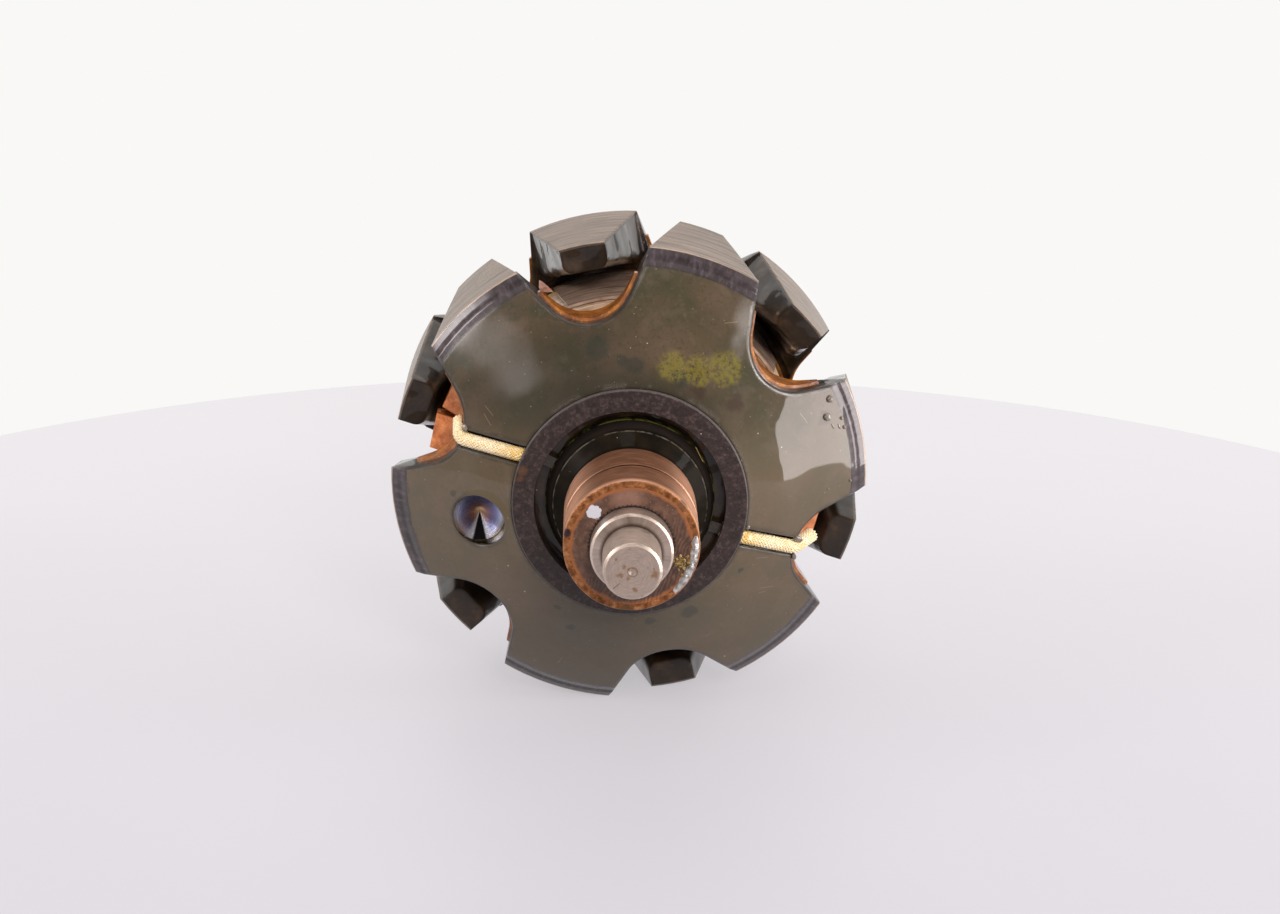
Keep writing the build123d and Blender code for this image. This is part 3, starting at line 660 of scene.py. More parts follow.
def retainer_finish():
    """Black fibre, speckled and faintly turned, with two brown stains by the left lead."""
    f = Finish("speckled_retainer")
    rim = f.plus(f.radius, f.times(f.cloud(1.2, 2), 0.2))
    base = f.layers(
        f.ramp(f.cloud(1.0, 5, 0.75), (0.36, 28, 21, 20), (0.52, 47, 37, 35), (0.68, 82, 69, 66)),
        (f.fade(f.turned(f.radius, 2.0), 0.5, 0.7), (32, 28, 29), 0.3),
        (f.specks(1.5, 0.22, 0.1), (150, 144, 148), 0.6),
        (f.specks(0.4, 0.16, 0.17), (214, 208, 200), 0.9),
        # painted highlight: a pale line along the ring's outer edge
        (f.fade(rim, RETAINER_R - 0.18, RETAINER_R - 0.04), (112, 104, 100), 0.25),
        *((f.blotch(at(24.0, angle, RETAINER_Y), size, 1.2, 0.8, 0.6), (94, 62, 34), 0.55)
          for angle, size in ((162.0, 1.5), (166.5, 1.0))))
    return f.set(Base_Color=base, Roughness=f.blend(f.cloud(1.0, 3), 0.46, 0.62),
                 Normal=f.bump(f.cloud(3.0, 3, 0.7), 0.05))


def insulation_finish(name, low, mid, high, glow, painted_lit_turns=False):
    """Folded insulating sheet, soaked in orange-brown varnish."""
    f = Finish(name, Coat_Weight=0.9, Coat_Roughness=0.1, Subsurface_Weight=0.12,
               Subsurface_Radius=(0.0012, 0.0006, 0.0003))
    cloud = f.cloud(0.3, 4, 0.65)
    base = f.layers(
        f.ramp(cloud, (0.32, *low), (0.52, *mid), (0.7, *high)),
        (f.patches(2.2, 0.56, 0.7, 4, 0.75), glow, 0.7),
        (f.specks(0.7, 0.25, 0.18), (240, 214, 170), 0.5))
    if painted_lit_turns:
        # where the sheet lies on the winding, its turns are painted on it, pink and gold as
        # painted highlights
        on_coil = f.times(f.fade(f.radius, COIL_R + 1.35, COIL_R + 1.1),
                          f.fade(f.folded, COIL_Y - 0.3, COIL_Y + 0.7))
        base = f.layers(base, (on_coil, f.ramp(
            f.turned(f.station, 1.1), (0.34, 96, 70, 52), (0.48, 176, 148, 128),
            (0.6, 206, 178, 158), (0.72, 222, 190, 110))))
    return f.set(Base_Color=base, Roughness=f.blend(cloud, 0.34, 0.5),
                 Normal=f.bump(f.varnish(2.4, 0.25), 0.25),
                 Coat_Normal=f.coat_skin(3.0, 0.08, 0.3))


def winding_finish():
    """Enamelled copper wire under brown varnish; its turns painted pale pink and cream as painted
    light, gold near both ends as a painted highlight.
    """
    f = Finish("varnished_winding", Coat_Weight=1.0, Coat_Roughness=0.12)
    per_turn = f.math("FRACT", f.times(
        f.math("FLOOR", f.over(f.minus(f.station, COIL_Y + 0.1), 2 * WIRE_R)), 0.618))
    drift = f.noise(f.join(f.times(per_turn, 9.0), f.times(f.turn, 30.0)), 1.0, 3)
    skin = f.cloud(0.22, 4, 0.6)
    # painted light: pale pink and cream turns, lighter than the copper-brown wire
    base = f.layers(
        f.ramp(drift, (0.3, 168, 124, 96), (0.45, 214, 178, 146), (0.58, 236, 210, 182),
               (0.72, 248, 220, 156)),
        (f.fade(skin, 0.52, 0.74), (140, 100, 72), 0.5),
        # painted highlight: gold on the turns near both ends
        (f.times(f.fade(f.folded, 61.0, 56.6), f.patches(0.5, 0.4, 0.6, 3)),
         (250, 208, 104), 0.8))
    return f.set(Base_Color=base, Metallic=f.blend(skin, 0.45, 0.2),
                 Roughness=f.blend(skin, 0.26, 0.42), Coat_Normal=f.coat_skin(3.0, 0.1, 0.2))


def braid_finish():
    """Glass sleeving: pale yarn, soaked golden in places by the varnish."""
    f = Finish("braided_sleeving", Sheen_Weight=0.2, Coat_Weight=0.3, Coat_Roughness=0.3,
               Roughness=0.55)
    near_ring = f.times(f.fade(f.radius, 32.5, 25.5), f.patches(1.1, 0.3, 0.6, 3))
    base = f.layers(
        f.ramp(f.cloud(1.8, 3, 0.6), (0.35, 236, 212, 158), (0.6, 254, 242, 212)),
        (f.patches(0.35, 0.5, 0.68, 3), (232, 198, 116), 0.45), (near_ring, (226, 184, 62), 0.8))
    return f.set(Base_Color=base, Normal=f.bump(f.cloud(6.0, 2), 0.03))


def simple_finish(name, low, high, scale, depth_mm, metal, rough, **plain):
    """A plainer finish: two tones of cloud, fine grain and a little relief."""
    f = Finish(name, Metallic=metal, **plain)
    cloud = f.cloud(scale, 4, 0.6)
    return f.set(Base_Color=f.ramp(cloud, (0.35, *low), (0.65, *high)),
                 Roughness=f.blend(cloud, rough, rough + 0.14),
                 Normal=f.bump(f.cloud(scale * 4, 3), depth_mm))


def spacer_finish():
    f = Finish("turned_spacer_steel", Metallic=0.95)
    on_face = f.math("GREATER_THAN", f.station, SPACER_END_Y)
    lines = f.blend(on_face, f.turned(f.station, 2.4), f.turned(f.radius, 2.4))
    base = f.layers(f.ramp(lines, (0.3, 104, 99, 92), (0.7, 158, 152, 143)),
                    (f.patches(0.3, 0.52, 0.72, 4), (104, 78, 54), 0.6))
    return f.set(Base_Color=base, Roughness=f.blend(lines, 0.3, 0.46), Normal=f.bump(lines, 0.02))


# Wire of the winding: its radius and how many turns show
WIRE_R, TURNS = 0.42, 38

POLE_FRONT = pole_finish("lacquered_pole_front", PHASE + 178.5, True)
POLE_REAR = pole_finish("lacquered_pole_rear", PHASE + 90.0, False)
SHAFT = shaft_finish()
SLIP_COPPER = slip_ring_finish()
HUB = hub_finish()
FLANGE = flange_finish()
RETAINER = retainer_finish()
SHEET = insulation_finish("insulating_sheet", (104, 56, 16), (146, 84, 26), (186, 120, 44),
                          (232, 178, 84), True)
FLAP = insulation_finish("folded_insulation", (158, 80, 34), (208, 124, 66), (234, 158, 98),
                         (246, 190, 124))
FOLD = insulation_finish("pale_folded_corner", (150, 104, 88), (184, 140, 122), (206, 168, 154),
                         (226, 196, 184))
WINDING = winding_finish()
BRAID = braid_finish()
SPACER = spacer_finish()
SOLDER = simple_finish("solder", (150, 148, 144), (226, 224, 220), 0.9, 0.15, 0.9, 0.22)
# painted shade: the solder by the leads is painted near black, as it lies in the dark channel
DARK_SOLDER = simple_finish("varnished_solder", (26, 22, 18), (58, 50, 38), 0.9, 0.15, 0.2, 0.3,
                            Coat_Weight=0.5)
COPPER_WIRE = simple_finish("bare_lead_copper", (150, 84, 50), (206, 128, 88), 0.8, 0.02, 0.9, 0.3)
BOBBIN = simple_finish("bobbin_moulding", (52, 30, 18), (88, 52, 30), 0.4, 0.05, 0.0, 0.4)
CORE = simple_finish("core_iron", (72, 68, 64), (104, 98, 92), 0.3, 0.06, 0.8, 0.5)
KNURL = simple_finish("knurled_steel", (30, 24, 22), (74, 60, 54), 1.5, 0.05, 0.6, 0.4)
FLUFF = simple_finish("dry_flux_fibres", (120, 96, 46), (196, 170, 110), 1.2, 0.02, 0.0, 0.6)
DROP = simple_finish("set_lacquer", (96, 88, 76), (136, 126, 112), 0.5, 0.02, 0.0, 0.12,
                     Coat_Weight=1.0, Coat_Roughness=0.03)

for finish, *nodes in (
        (SHAFT, "shaft"), (POLE_FRONT, "claw_pole_front"), (POLE_REAR, "claw_pole_rear"),
        (CORE, "pole_core"), (BOBBIN, "coil_bobbin"), (WINDING, "field_winding"),
        (SHEET, "insulation_star_front", "insulation_star_rear"),
        (FLAP, "insulation_flap_left_lower", "insulation_flap_left_upper",
         "insulation_flap_right"),
        (HUB, "slip_ring_hub"), (SLIP_COPPER, "slip_ring_outer", "slip_ring_inner"),
        (FLANGE, "hub_flange"), (RETAINER, "retainer_ring"), (SPACER, "drive_spacer"),
        (SOLDER, "solder_outer_ring"), (DARK_SOLDER, "solder_left", "solder_right"),
        (BRAID, "lead_sleeve_left", "lead_sleeve_right"),
        (COPPER_WIRE, "lead_wire_left", "lead_wire_right")):
    for node in nodes:
        mesh = NODES[node].data
        mesh.materials.clear()
        mesh.materials.append(finish)


# Pieces made here

def settle(piece, slot, *nodes):
    """Give a finished piece to the rotor's body and hide the nodes it stands for; slot is not
    used.
    """
    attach(piece, "root")
    if nodes:
        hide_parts(*nodes)


def object_of(name, mesh, finish=None):
    piece = bpy.data.objects.new(name, mesh)
    scene.collection.objects.link(piece)
    if finish:
        mesh.materials.clear()
        mesh.materials.append(finish)
    return piece


def solid_mesh(name, points, faces):
    """Mesh of a closed solid from points in mm, its faces turned outward."""
    mesh = bpy.data.meshes.new(name)
    mesh.from_pydata([tuple(p * MM) for p in points], [], faces)
    mesh.validate()
    work = bmesh.new()
    work.from_mesh(mesh)
    bmesh.ops.remove_doubles(work, verts=work.verts, dist=1e-7)
    bmesh.ops.recalc_face_normals(work, faces=work.faces)
    work.to_mesh(mesh)
    work.free()
    return mesh


def piece_of(name, points, faces, finish, smooth=True):
    piece = object_of(name, solid_mesh(name, points, faces), finish)
    for face in piece.data.polygons:
        face.use_smooth = smooth
    return piece


def between_rows(rows, n, first=0, closed=False, ring=True):
    """Faces between rows of n points: closed joins the last row to the first, ring each row's
    last point to its first."""
    faces = []
    for row in range(rows if closed else rows - 1):
        a, b = first + row * n, first + (row + 1) % rows * n
        for i in range(n if ring else n - 1):
            j = (i + 1) % n
            faces.append((a + i, b + i, b + j, a + j))
    return faces


def lathe_mesh(name, profile, steps=128):
    """Closed solid of revolution round the shaft from (radius, station) corners in mm."""
    points = [at(r, 360.0 * k / steps, y) for k in range(steps) for r, y in profile]
    return solid_mesh(name, points, between_rows(steps, len(profile), closed=True))


def grown(name, tree, start_mesh, finish, **values):
    """Run a geometry tree on a start mesh and keep the result as a plain mesh."""
    values["Finish"] = finish
    seed_piece = object_of(name + "_start", start_mesh)
    change = seed_piece.modifiers.new("grow", "NODES")
    change.node_group = tree
    for item in tree.interface.items_tree:
        if item.item_type == "SOCKET" and item.in_out == "INPUT":
            key = item.name.replace(" ", "_")
            if key in values:
                change[item.identifier] = values[key]
    bpy.context.view_layer.update()
    graph = bpy.context.evaluated_depsgraph_get()
    mesh = bpy.data.meshes.new_from_object(seed_piece.evaluated_get(graph), depsgraph=graph)
    bpy.data.objects.remove(seed_piece)
    mesh.name = name
    for face in mesh.polygons:
        face.use_smooth = True
    return object_of(name, mesh, finish)


def new_geometry(name, *inputs):
    return new_group(name, [("Start", "mesh"), *inputs, ("Finish", "finish")],
                     [("Mesh", "mesh")], "GeometryNodeTree")


def end_geometry(t, given, out, *parts, smooth=True):
    """Every tree ends as real, joined geometry with its finish."""
    joined = t.nodes.new("GeometryNodeJoinGeometry")
    for part in parts:
        t.links.new(part, joined.inputs[0])
    real = t.geo("RealizeInstances", Geometry=joined.outputs[0])
    shaded = t.geo("SetShadeSmooth", Geometry=real, Shade_Smooth=smooth)
    t.put(out["Mesh"], t.geo("SetMaterial", Geometry=shaded, Material=given["Finish"]))
    return t.tree


def winding_tree():
    """Turns of wire side by side round the shaft, none quite true."""
    t, given, out = new_geometry(
        "wire_turns", ("Turns", "whole", 10), ("First", "number", 0.0), ("Pitch", "number", 1.0),
        ("Coil radius", "number", 1.0), ("Wire radius", "number", 0.4),
        ("Waver", "number", 0.0), ("Seed", "whole", 1))
    points = t.geo("MeshLine", Count=given["Turns"], Offset=t.join(0.0, given["Pitch"]),
                   Start_Location=t.join(0.0, given["First"]))
    circle = t.geo("CurvePrimitiveCircle", Resolution=90, Radius=given["Coil radius"])
    around = t.geo("Transform", Geometry=circle, Rotation=(math.pi / 2, 0.0, 0.0))
    turns = t.geo("RealizeInstances", Geometry=t.geo("InstanceOnPoints", Points=points,
                                                     Instance=around))
    shift = t.join(t.times(given["Seed"], 3.7), 0.0)
    place = t.vector("MULTIPLY", t.geo("InputPosition"), (45.0, 900.0, 45.0))
    drift = t.vector("SUBTRACT", t.noise(t.vector("ADD", place, shift), 1.0, 1.0, out=1), HALF)
    moved = t.geo("SetPosition", Geometry=turns, Offset=t.scaled(drift, given["Waver"]))
    wires = t.tube(moved, given["Wire radius"], 8, False)
    return end_geometry(t, given, out, given["Start"], wires)


COIL_END_Y = 2 * MID_Y - COIL_Y
FIRST_WIRE, LAST_WIRE = COIL_Y + WIRE_R, COIL_END_Y - WIRE_R
winding_body = lathe_mesh("winding_body", [
    (CORE_R, COIL_Y), (COIL_R - 0.75, COIL_Y), (COIL_R - 0.75, COIL_END_Y), (CORE_R, COIL_END_Y)])
winding = grown(
    "field_winding_turns", winding_tree(), winding_body, WINDING, Turns=TURNS,
    First=FIRST_WIRE * MM, Pitch=(LAST_WIRE - FIRST_WIRE) / (TURNS - 1) * MM,
    Coil_radius=(COIL_R - WIRE_R - 0.1) * MM, Wire_radius=WIRE_R * MM, Waver=0.25 * MM, Seed=4)
settle(winding, "winding_copper", "field_winding")


def rounded_line(corners, radius, steps=7):
    """Straight runs joined by arcs that touch both, as points in mm."""
    points = [corners[0]]
    for before, corner, after in zip(corners, corners[1:], corners[2:]):
        u, v = (before - corner).normalized(), (after - corner).normalized()
        turn = math.pi - u.angle(v)
        back = radius * math.tan(turn / 2)
        middle = corner + (u + v).normalized() * (radius / math.cos(turn / 2))
        a, b = corner + u * back - middle, corner + v * back - middle
        points += [middle + a.slerp(b, k / steps) * radius for k in range(steps + 1)]
    return points + [corners[-1]]


def line_mesh(name, points):
    mesh = bpy.data.meshes.new(name)
    mesh.from_pydata([tuple(p * MM) for p in points],
                     [(k, k + 1) for k in range(len(points) - 1)], [])
    return mesh


def lead_line(angle_in, angle_out, angle_end, end_out, tail):
    """Middle of a lead's sleeve: in from under the ring, along its slot, into the hollow."""
    lift, slot_y, seat_r = 1.56, POLE_FACE_Y + 3.72, COIL_R + 0.8
    inner, outer = at(RETAINER_R, PHASE + angle_in, 0.0), at(seat_r, PHASE + angle_out, 0.0)
    end = at(seat_r + end_out, PHASE + angle_end, 0.0)
    run, along = (outer - inner).length, (outer - inner).normalized()
    slope = CONE_SLOPE - 0.9 / run
    slant = math.sqrt(1 + slope ** 2)
    out_y = slot_y - lift * slant + run * slope
    start, bend = inner - along * 4.5, inner + along * (lift * (slant - 1) / slope)
    return rounded_line([
        Vector((start.x, slot_y - lift, start.z)), Vector((bend.x, slot_y - lift, bend.z)),
        Vector((outer.x, out_y, outer.z)), Vector((end.x, out_y + tail, end.z))], 3.0)


def sleeve_tree():
    """A braided sleeve: two sets of strands wound against each other over a soft core."""
    t, given, out = new_geometry(
        "braided_sleeve", ("Strands", "whole", 24), ("Turns", "number", 2.7),
        ("Sleeve radius", "number", 1.4), ("Strand radius", "number", 0.2),
        ("Weave", "number", 0.05), ("Steps", "whole", 200))
    line = t.geo("ResampleCurve", Curve=t.geo("MeshToCurve", Mesh=given["Start"]),
                 Count=given["Steps"])
    core = t.tube(line, t.minus(given["Sleeve radius"], given["Weave"]), 14)
    copies = t.add("GeometryNodeDuplicateElements", {"domain": "SPLINE"}, Geometry=line,
                   Amount=given["Strands"])
    index = copies.outputs["Duplicate Index"]
    way = t.minus(t.times(t.math("MODULO", index, 2.0), 2.0), 1.0)
    pair, half = t.math("FLOOR", t.over(index, 2.0)), t.over(given["Strands"], 2.0)
    along = t.add("GeometryNodeSplineParameter").outputs["Factor"]
    wound = t.times(along, given["Turns"], 2 * math.pi)
    angle = t.plus(t.times(t.over(pair, half), 2 * math.pi), t.times(way, wound))
    above = t.times(way, t.math("COSINE", t.times(wound, half)))
    radius = t.plus(given["Sleeve radius"], t.times(above, given["Weave"]))
    side = t.geo("InputNormal")
    cross = t.vector("CROSS_PRODUCT", t.geo("InputTangent"), side)
    offset = t.vector("ADD", t.scaled(side, t.times(radius, t.math("COSINE", angle))),
                      t.scaled(cross, t.times(radius, t.math("SINE", angle))))
    strands = t.tube(t.geo("SetPosition", Geometry=copies.outputs[0], Offset=offset),
                     given["Strand radius"], 5)
    return end_geometry(t, given, out, core, strands)


SLEEVE = sleeve_tree()
for side, line in (("left", lead_line(145.06, 150.9, 147.4, 1.0, 5.0)),
                   ("right", lead_line(-30.82, -31.8, -27.8, 3.6, 4.0))):
    sleeve = grown("braided_sleeve_" + side, SLEEVE, line_mesh("sleeve_line_" + side, line),
                   BRAID, Strands=24, Turns=2.6, Sleeve_radius=1.36 * MM, Steps=190,
                   Strand_radius=0.2 * MM, Weave=0.07 * MM)
    settle(sleeve, "sleeve_braid", "lead_sleeve_" + side)


def teeth_tree():
    """Small pyramid teeth set round the shaft."""
    t, given, out = new_geometry(
        "knurl_teeth", ("Teeth", "whole", 60), ("Ring radius", "number", 8.7),
        ("Tooth", "number", 0.4))
    circle = t.geo("MeshCircle", Vertices=given["Teeth"], Radius=given["Ring radius"])
    upright = t.geo("Transform", Geometry=circle, Rotation=(math.pi / 2, 0.0, 0.0))
    tooth = t.geo("MeshCone", Vertices=4, Radius_Bottom=given["Tooth"],
                  Depth=t.times(given["Tooth"], 1.6))
    aim = t.add("FunctionNodeAlignRotationToVector", {"axis": "Z"},
                Vector=t.geo("InputPosition")).outputs[0]
    laid = t.geo("InstanceOnPoints", Points=upright, Instance=tooth, Rotation=aim)
    placed = t.geo("Transform", Geometry=laid,
                   Translation=t.join(0.0, (HUB_FACE_Y - 0.06) * MM))
    return end_geometry(t, given, out, given["Start"], placed, smooth=False)


knurl_root = lathe_mesh("knurl_root", [
    (SHAFT_R - 0.05, HUB_FACE_Y - 0.25), (SHAFT_R + 0.22, HUB_FACE_Y - 0.22),
    (SHAFT_R + 0.3, HUB_FACE_Y + 0.05), (SHAFT_R - 0.05, HUB_FACE_Y + 0.05)], 96)
settle(grown("knurl_at_hub_face", teeth_tree(), knurl_root, KNURL, Teeth=64,
             Ring_radius=(SHAFT_R + 0.22) * MM, Tooth=0.24 * MM), "shaft_steel")


def fibre_tree():
    """A tuft of fine curled fibres, scattered about one spot."""
    t, given, out = new_geometry(
        "fibre_tuft", ("Fibres", "whole", 60), ("Spread", "vector"), ("Centre", "vector"),
        ("Length", "number", 1.5), ("Fibre radius", "number", 0.05), ("Seed", "whole", 1))
    reach = t.chance(given["Seed"], (-1.0, -1.0, -1.0), (1.0, 1.0, 1.0))
    spot = t.vector("ADD", given["Centre"], t.vector("MULTIPLY", reach, given["Spread"]))
    placed = t.geo("SetPosition", Geometry=t.geo("MeshLine", Count=given["Fibres"]),
                   Position=spot)
    curl = t.geo("CurveArc", {"mode": "RADIUS"}, Resolution=9, Radius=given["Length"],
                 Sweep_Angle=math.radians(110))
    turn = t.chance(t.plus(given["Seed"], 7.0), (0.0, 0.0, 0.0), (6.28, 6.28, 6.28))
    size = t.chance(t.plus(given["Seed"], 3.0), 0.35, 1.1)
    laid = t.geo("InstanceOnPoints", Points=placed, Instance=curl, Rotation=turn, Scale=size)
    fibres = t.tube(t.geo("RealizeInstances", Geometry=laid), given["Fibre radius"], 5)
    return end_geometry(t, given, out, given["Start"], fibres)


def frame_at(outward):
    """Two directions square to the outward one, for building on a surface."""
    side = outward.cross(AXIAL)
    if side.length < 0.2:
        side = outward.cross(Vector((1.0, 0.0, 0.0)))
    side.normalize()
    return side, outward.cross(side).normalized()


def lump(spot, outward, size, height, rough, seed, long, turn, rings=6, around=20):
    """Points and faces of one closed lump that sits on a surface and is sunk in it a little."""
    side, up = frame_at(outward)
    ca, sa = math.cos(math.radians(turn)), math.sin(math.radians(turn))
    side, up = side * ca + up * sa, up * ca - side * sa
    sunk = 0.25
    points = [spot + outward * height]
    for i in range(1, rings + 1):
        share = i / rings
        lift = height * math.sqrt(max(0.0, 1 - share ** 2.4)) - (sunk if i == rings else 0.0)
        for k in range(around):
            a = 2 * math.pi * k / around
            wob = 1 + rough * (noise.noise(Vector((math.cos(a) * 1.4 + seed * 5.1,
                                                   math.sin(a) * 1.4, seed * 2.3 + i * 0.12))))
            flat = side * math.cos(a) * size * long + up * math.sin(a) * size
            points.append(spot + flat * share * wob + outward * lift * (1 + 0.4 * (wob - 1)))
    points.append(spot - outward * sunk)
    last = 1 + (rings - 1) * around
    faces = [(0, 1 + k, 1 + (k + 1) % around) for k in range(around)]
    faces += between_rows(rings, around, first=1)
    faces += [(last + k, len(points) - 1, last + (k + 1) % around) for k in range(around)]
    return points, faces


def lumps(name, slot, finish, items):
    """Several lumps in one piece: (spot, outward, size, height, rough, long, turn) each."""
    points, faces = [], []
    for seed, (spot, outward, size, height, rough, long, turn) in enumerate(items, 1):
        p, f = lump(spot, outward.normalized(), size, height, rough, seed, long, turn)
        faces += [tuple(i + len(points) for i in face) for face in f]
        points += p
    settle(piece_of(name, points, faces, finish), slot)


def off_slope(angle):
    """The way the front pole's sloping face looks at an angle round the shaft."""
    a = math.radians(angle)
    return Vector((CONE_SLOPE * math.cos(a), -1.0, CONE_SLOPE * math.sin(a)))


lumps("lacquer_drops", "lacquered_steel", DROP, [
    (slope_at(r, angle), off_slope(angle), size, height, 0.25, long, turn)
    for r, angle, size, height, long, turn in (
        (47.3, 23.6, 0.85, 0.7, 1.0, 0.0), (45.3, 19.6, 0.95, 0.8, 1.0, 0.0),
        (48.2, 17.4, 0.42, 0.4, 1.0, 0.0), (45.9, 16.5, 0.22, 0.16, 3.0, 8.0),
        (47.2, 15.6, 0.22, 0.16, 3.4, 12.0), (48.3, 14.8, 0.42, 0.36, 1.3, 12.0),
        (48.2, 0.2, 0.34, 0.3, 1.0, 0.0), (43.2, -1.0, 0.22, 0.2, 1.0, 0.0),
        (37.9, 157.6, 0.55, 0.45, 1.6, 60.0), (25.9, -13.0, 0.45, 0.4, 1.3, 0.0),
        (38.4, -17.0, 0.7, 0.45, 2.0, 70.0), (38.9, -23.0, 0.5, 0.4, 2.2, 40.0))])


def solder_run():
    """Ragged solder over the edge of the outer slip ring, at the hub's face."""
    first, last, steps, across = 9.5, -49.0, 90, 12
    points = []
    for i in range(steps + 1):
        share = i / steps
        angle = first + (last - first) * share
        taper = min(1.0, 7.0 * share, 6.0 * (1 - share)) ** 0.5 if 0 < share < 1 else 0.0
        n1 = noise.noise(Vector((share * 9.0, 1.7, 0.0)))
        n2 = noise.noise(Vector((share * 11.0, 8.2, 0.0)))
        inner, outer = 12.75 - 0.55 * taper + 0.5 * n1, 13.62 + 0.1 * taper + 0.12 * n2
        for k in range(across + 1):
            v = k / across
            r = inner + (outer - inner) * v
            bulge = math.sin(math.pi * v) ** 0.6 if 0 < v < 1 else 0.0
            lumpy = noise.noise(Vector((r * 1.3, angle * 0.16, 3.0)))
            pit = max(0.0, noise.noise(Vector((r * 3.1, angle * 0.5, 9.0))) - 0.35)
            rise = taper * bulge * (0.42 + 0.3 * lumpy - 0.8 * pit)
            points.append(at(r, angle, HUB_FACE_Y - 0.02 - max(0.0, rise)))
    wide = across + 1
    faces = between_rows(steps + 1, wide, ring=False)
    # the two long edges again, a little way into the hub, to close the run below
    base = len(points)
    points += [Vector((p.x, HUB_FACE_Y + 0.12, p.z)) for i in range(steps + 1)
               for p in (points[i * wide], points[i * wide + across])]
    for i in range(steps):
        a, b, c, d = i * wide, (i + 1) * wide, base + 2 * i, base + 2 * (i + 1)
        faces += [(c, a, b, d), (a + across, c + 1, d + 1, b + across), (c, d, d + 1, c + 1)]
    for i in (0, steps):
        a, c = i * wide, base + 2 * i
        faces.append((c, *range(a, a + wide), c + 1))
    settle(piece_of("solder_on_outer_ring", points, faces, SOLDER), "solder", "solder_outer_ring")


solder_run()

tuft_seed = lathe_mesh("tuft_seed", [
    (SHAFT_R - 0.04, HUB_FACE_Y - 0.2), (SHAFT_R + 0.1, HUB_FACE_Y - 0.2),
    (SHAFT_R + 0.1, HUB_FACE_Y + 0.02), (SHAFT_R - 0.04, HUB_FACE_Y + 0.02)], 12)
settle(grown("flux_fibres", fibre_tree(), tuft_seed, FLUFF, Fibres=70,
             Spread=(1.7 * MM, 0.28 * MM, 1.0 * MM),
             Centre=tuple(at(10.6, -19.0, HUB_FACE_Y - 0.3) * MM), Length=0.62 * MM,
             Fibre_radius=0.045 * MM, Seed=5), "solder")
lumps("flux_crumbs", "solder", FLUFF, [
    (at(r, angle, HUB_FACE_Y), -AXIAL, size, size * 0.8, 0.5, 1.2, 30.0)
    for r, angle, size in ((10.2, -12.0, 0.32), (11.2, -16.0, 0.4), (10.4, -21.0, 0.36),
                           (11.6, -24.0, 0.42), (10.9, -28.0, 0.3), (12.2, -17.0, 0.34),
                           (9.7, -17.0, 0.26), (12.0, -31.0, 0.3), (11.7, -10.5, 0.24))])


def rod_of(name, slot, finish, rows, smooth):
    """A closed bar from rows of points, each row one section, capped at both ends."""
    n, last = len(rows[0]), (len(rows) - 1) * len(rows[0])
    faces = between_rows(len(rows), n) + [tuple(range(n)), tuple(range(last, last + n))]
    settle(piece_of(name, [p for row in rows for p in row], faces, finish, smooth), slot)


# A pale corner of the sheet, folded forward over its end
FOLD_T = Vector((0.1, -1.0, 0.2)) * 0.4
rod_of("folded_corner_top", "insulation_sheet", FOLD, [
    (a, b, b + FOLD_T, a + FOLD_T) for a, b in (
        (at(48.7, 113.2, 53.3), at(48.3, 112.7, 53.3)),
        (at(47.1, 114.1, 53.6), at(46.7, 111.7, 53.1)),
        (at(46.1, 114.3, 54.0), at(45.2, 110.9, 53.0)))], False)

thread = rounded_line([Vector((14.0, 38.9, 11.8)), Vector((14.9, 38.5, 10.0)),
                       Vector((15.4, 38.7, 8.9)), Vector((16.4, 39.2, 7.3))], 1.5)
thread_rows = []
for k, p in enumerate(thread):
    ahead = thread[min(k + 1, len(thread) - 1)] - thread[max(k - 1, 0)]
    side, up = frame_at(ahead.normalized())
    thread_rows.append([p + side * a + up * b for a, b in (
        (0.09, 0.0), (0.03, 0.09), (-0.08, 0.06), (-0.08, -0.06), (0.03, -0.09))])
rod_of("stray_fibre", "insulation_sheet", FLUFF, thread_rows, True)


# Camera, lights and table

camera_data = bpy.data.cameras.new("camera")
camera_data.sensor_width = 36.0
camera_data.lens = 77.58
camera_data.clip_start, camera_data.clip_end = 0.01, 20.0
camera = bpy.data.objects.new("camera", camera_data)
camera.location = (-0.006971, -0.519065, 0.189516)
camera.rotation_euler = [math.radians(a) for a in (72.13585, -0.06726, -0.91612)]
scene.collection.objects.link(camera)
scene.camera = camera

AIM = Vector((0.0, 0.05, 0.0))
LAMP_TINT = (1.0, 0.94, 0.93)


def soft_light(name, where, width, height, watts, roll=0.0, soft=0.0, glare=True):
    """A warm softbox, fading toward its edges by soft; without glare it is a polarised one."""
    data = bpy.data.lights.new(name, "AREA")
    data.shape = "RECTANGLE"
    data.size, data.size_y = width, height
    data.energy = watts
    data.color = LAMP_TINT
    if soft:
        data.use_nodes = True
        t = Tree(data.node_tree)
        face = t.add("ShaderNodeNewGeometry").outputs["Parametric"]
        off_middle = t.vector("SUBTRACT", face, (0.5, 0.5, 0.0))
        away = t.length(t.vector("MULTIPLY", off_middle, (1.0, 1.0, 0.0)))
        t.put(t.nodes["Emission"].inputs["Strength"], t.fade(away, 0.5, 0.5 - 0.5 * soft))
    lamp = bpy.data.objects.new(name, data)
    lamp.location = where
    turn = (AIM - Vector(where)).to_track_quat("-Z", "Y").to_matrix()
    lamp.rotation_euler = (turn @ Matrix.Rotation(math.radians(roll), 3, "Z")).to_euler()
    lamp.visible_glossy = glare
    scene.collection.objects.link(lamp)


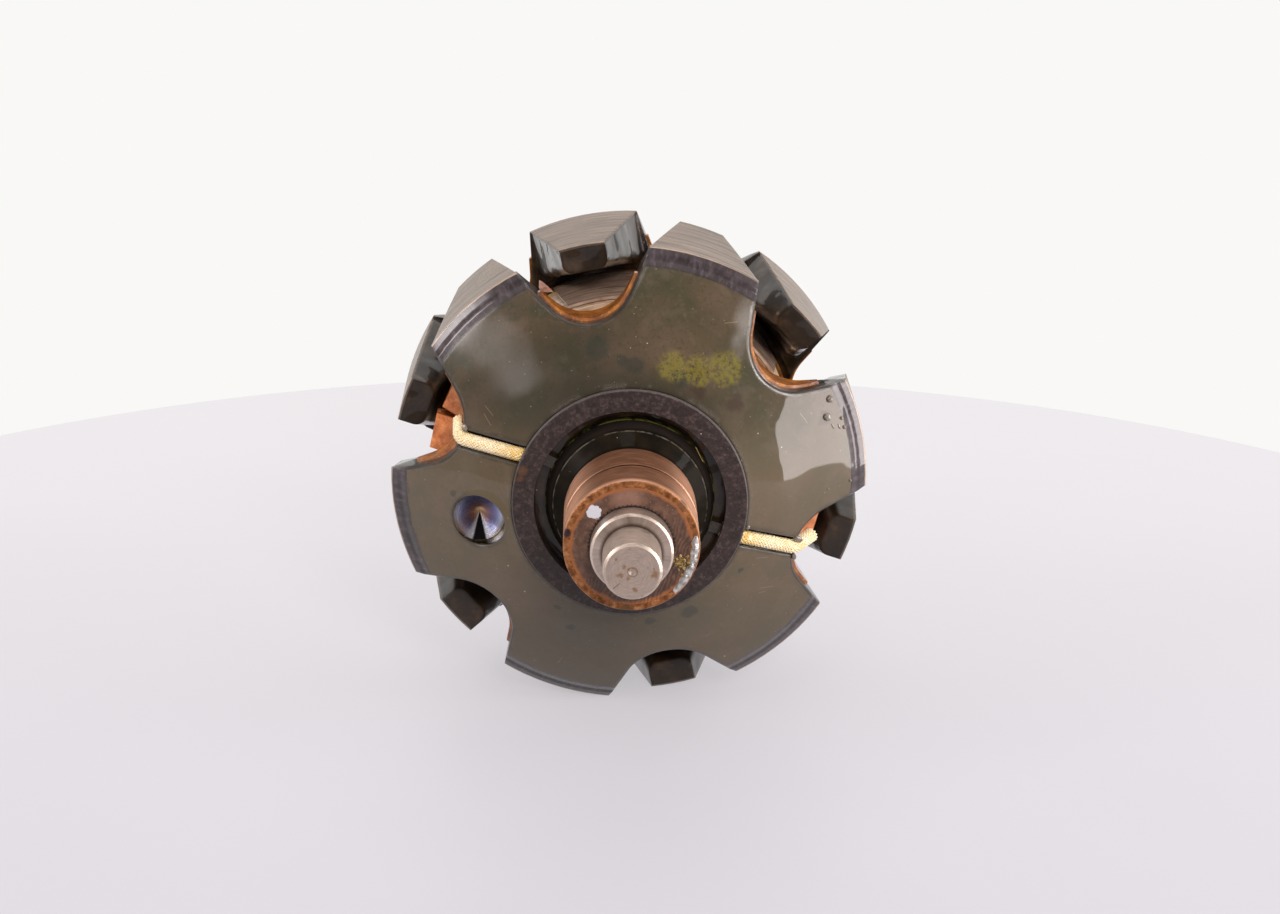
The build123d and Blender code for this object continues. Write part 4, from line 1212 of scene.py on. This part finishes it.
soft_light("key_left", (-0.86, -0.2, 0.5), 0.62, 0.56, 10.5, soft=0.7)
soft_light("fill_left", (-0.72, -0.52, 0.46), 0.6, 0.4, 1.4, roll=10.0, soft=0.8)
soft_light("side_right", (0.93, -0.13, -0.02), 0.64, 0.5, 6.2, roll=8.0)
soft_light("high_right", (0.63, -0.46, 0.55), 0.26, 0.24, 0.9, soft=0.8)
soft_light("front", (0.2, -0.78, 0.5), 0.3, 0.3, 6.4, glare=False)
soft_light("over_right_claw", (0.82, -0.26, 0.42), 0.18, 0.18, 2.6)
soft_light("over_top_claw", (-0.05, -0.4, 0.86), 0.2, 0.16, 0.7)
soft_light("top", (0.05, 0.42, 0.88), 0.8, 0.6, 1.6)

# Room: pale behind the table and at the sides, dimmer toward the viewer
world = bpy.data.worlds.new("studio")
world.use_nodes = True
scene.world = world
w = Tree(world.node_tree)
sky_x, sky_y, sky_z = w.split(w.add("ShaderNodeTexCoord").outputs["Generated"])
behind = w.fade(sky_y, -0.75, 0.45)
beside = w.either(w.fade(sky_x, -0.8, -0.97), w.fade(sky_x, 0.8, 0.97, 0.0, 0.45))
light = w.times(w.either(behind, beside), w.fade(sky_z, 0.95, 0.45, 0.7, 1.0))
light = w.fade(light, 0.0, 1.0, 0.34, 1.12)
room = w.mix(1.0, (240, 229, 228), w.join(light, light, light), "MULTIPLY")
ray = w.add("ShaderNodeLightPath").outputs
seen = w.either(ray["Is Camera Ray"], ray["Is Transmission Ray"],
                w.times(ray["Is Glossy Ray"], behind))
backdrop = w.nodes["Background"]
w.put(backdrop.inputs[0], w.mix(seen, room, (249, 248, 246)))
backdrop.inputs[1].default_value = 1.0

# Round table; it glows a little in the picture, and lights nothing
TABLE_R, TABLE_T, SIDES = 280.0, 6.0, 160
TABLE_X, TABLE_Y = -8.0, 33.0
table_points = []
for k in range(SIDES):
    p = at(TABLE_R, 360.0 * k / SIDES, 0.0)
    table_points += [Vector((p.x + TABLE_X, p.z + TABLE_Y, -ROTOR_R - drop))
                     for drop in (0.0, TABLE_T)]
table_faces = between_rows(SIDES, 2, closed=True, ring=False)
table_faces += [tuple(range(0, 2 * SIDES, 2)), tuple(range(1, 2 * SIDES, 2))]
paint = Finish("pale_turntable", IOR=1.45, Roughness=0.5, Emission_Strength=0.5)
depth = paint.fade(paint.station, -260.0, 320.0)
ray = paint.add("ShaderNodeLightPath").outputs
looked_at = paint.either(ray["Is Camera Ray"], ray["Is Glossy Ray"], ray["Is Transmission Ray"])
paint.set(
    Base_Color=paint.layers(
        paint.ramp(depth, (0.0, 110, 110, 116), (0.5, 116, 116, 121), (1.0, 130, 131, 134)),
        (paint.patches(0.012, 0.4, 0.7), (126, 126, 131), 0.2)),
    Emission_Color=paint.mix(looked_at, (0, 0, 0), paint.ramp(
        depth, (0.0, 238, 233, 240), (1.0, 255, 252, 255))))
table = piece_of("turntable", table_points, table_faces, paint.material, smooth=False)

scene.view_settings.view_transform = "Standard"
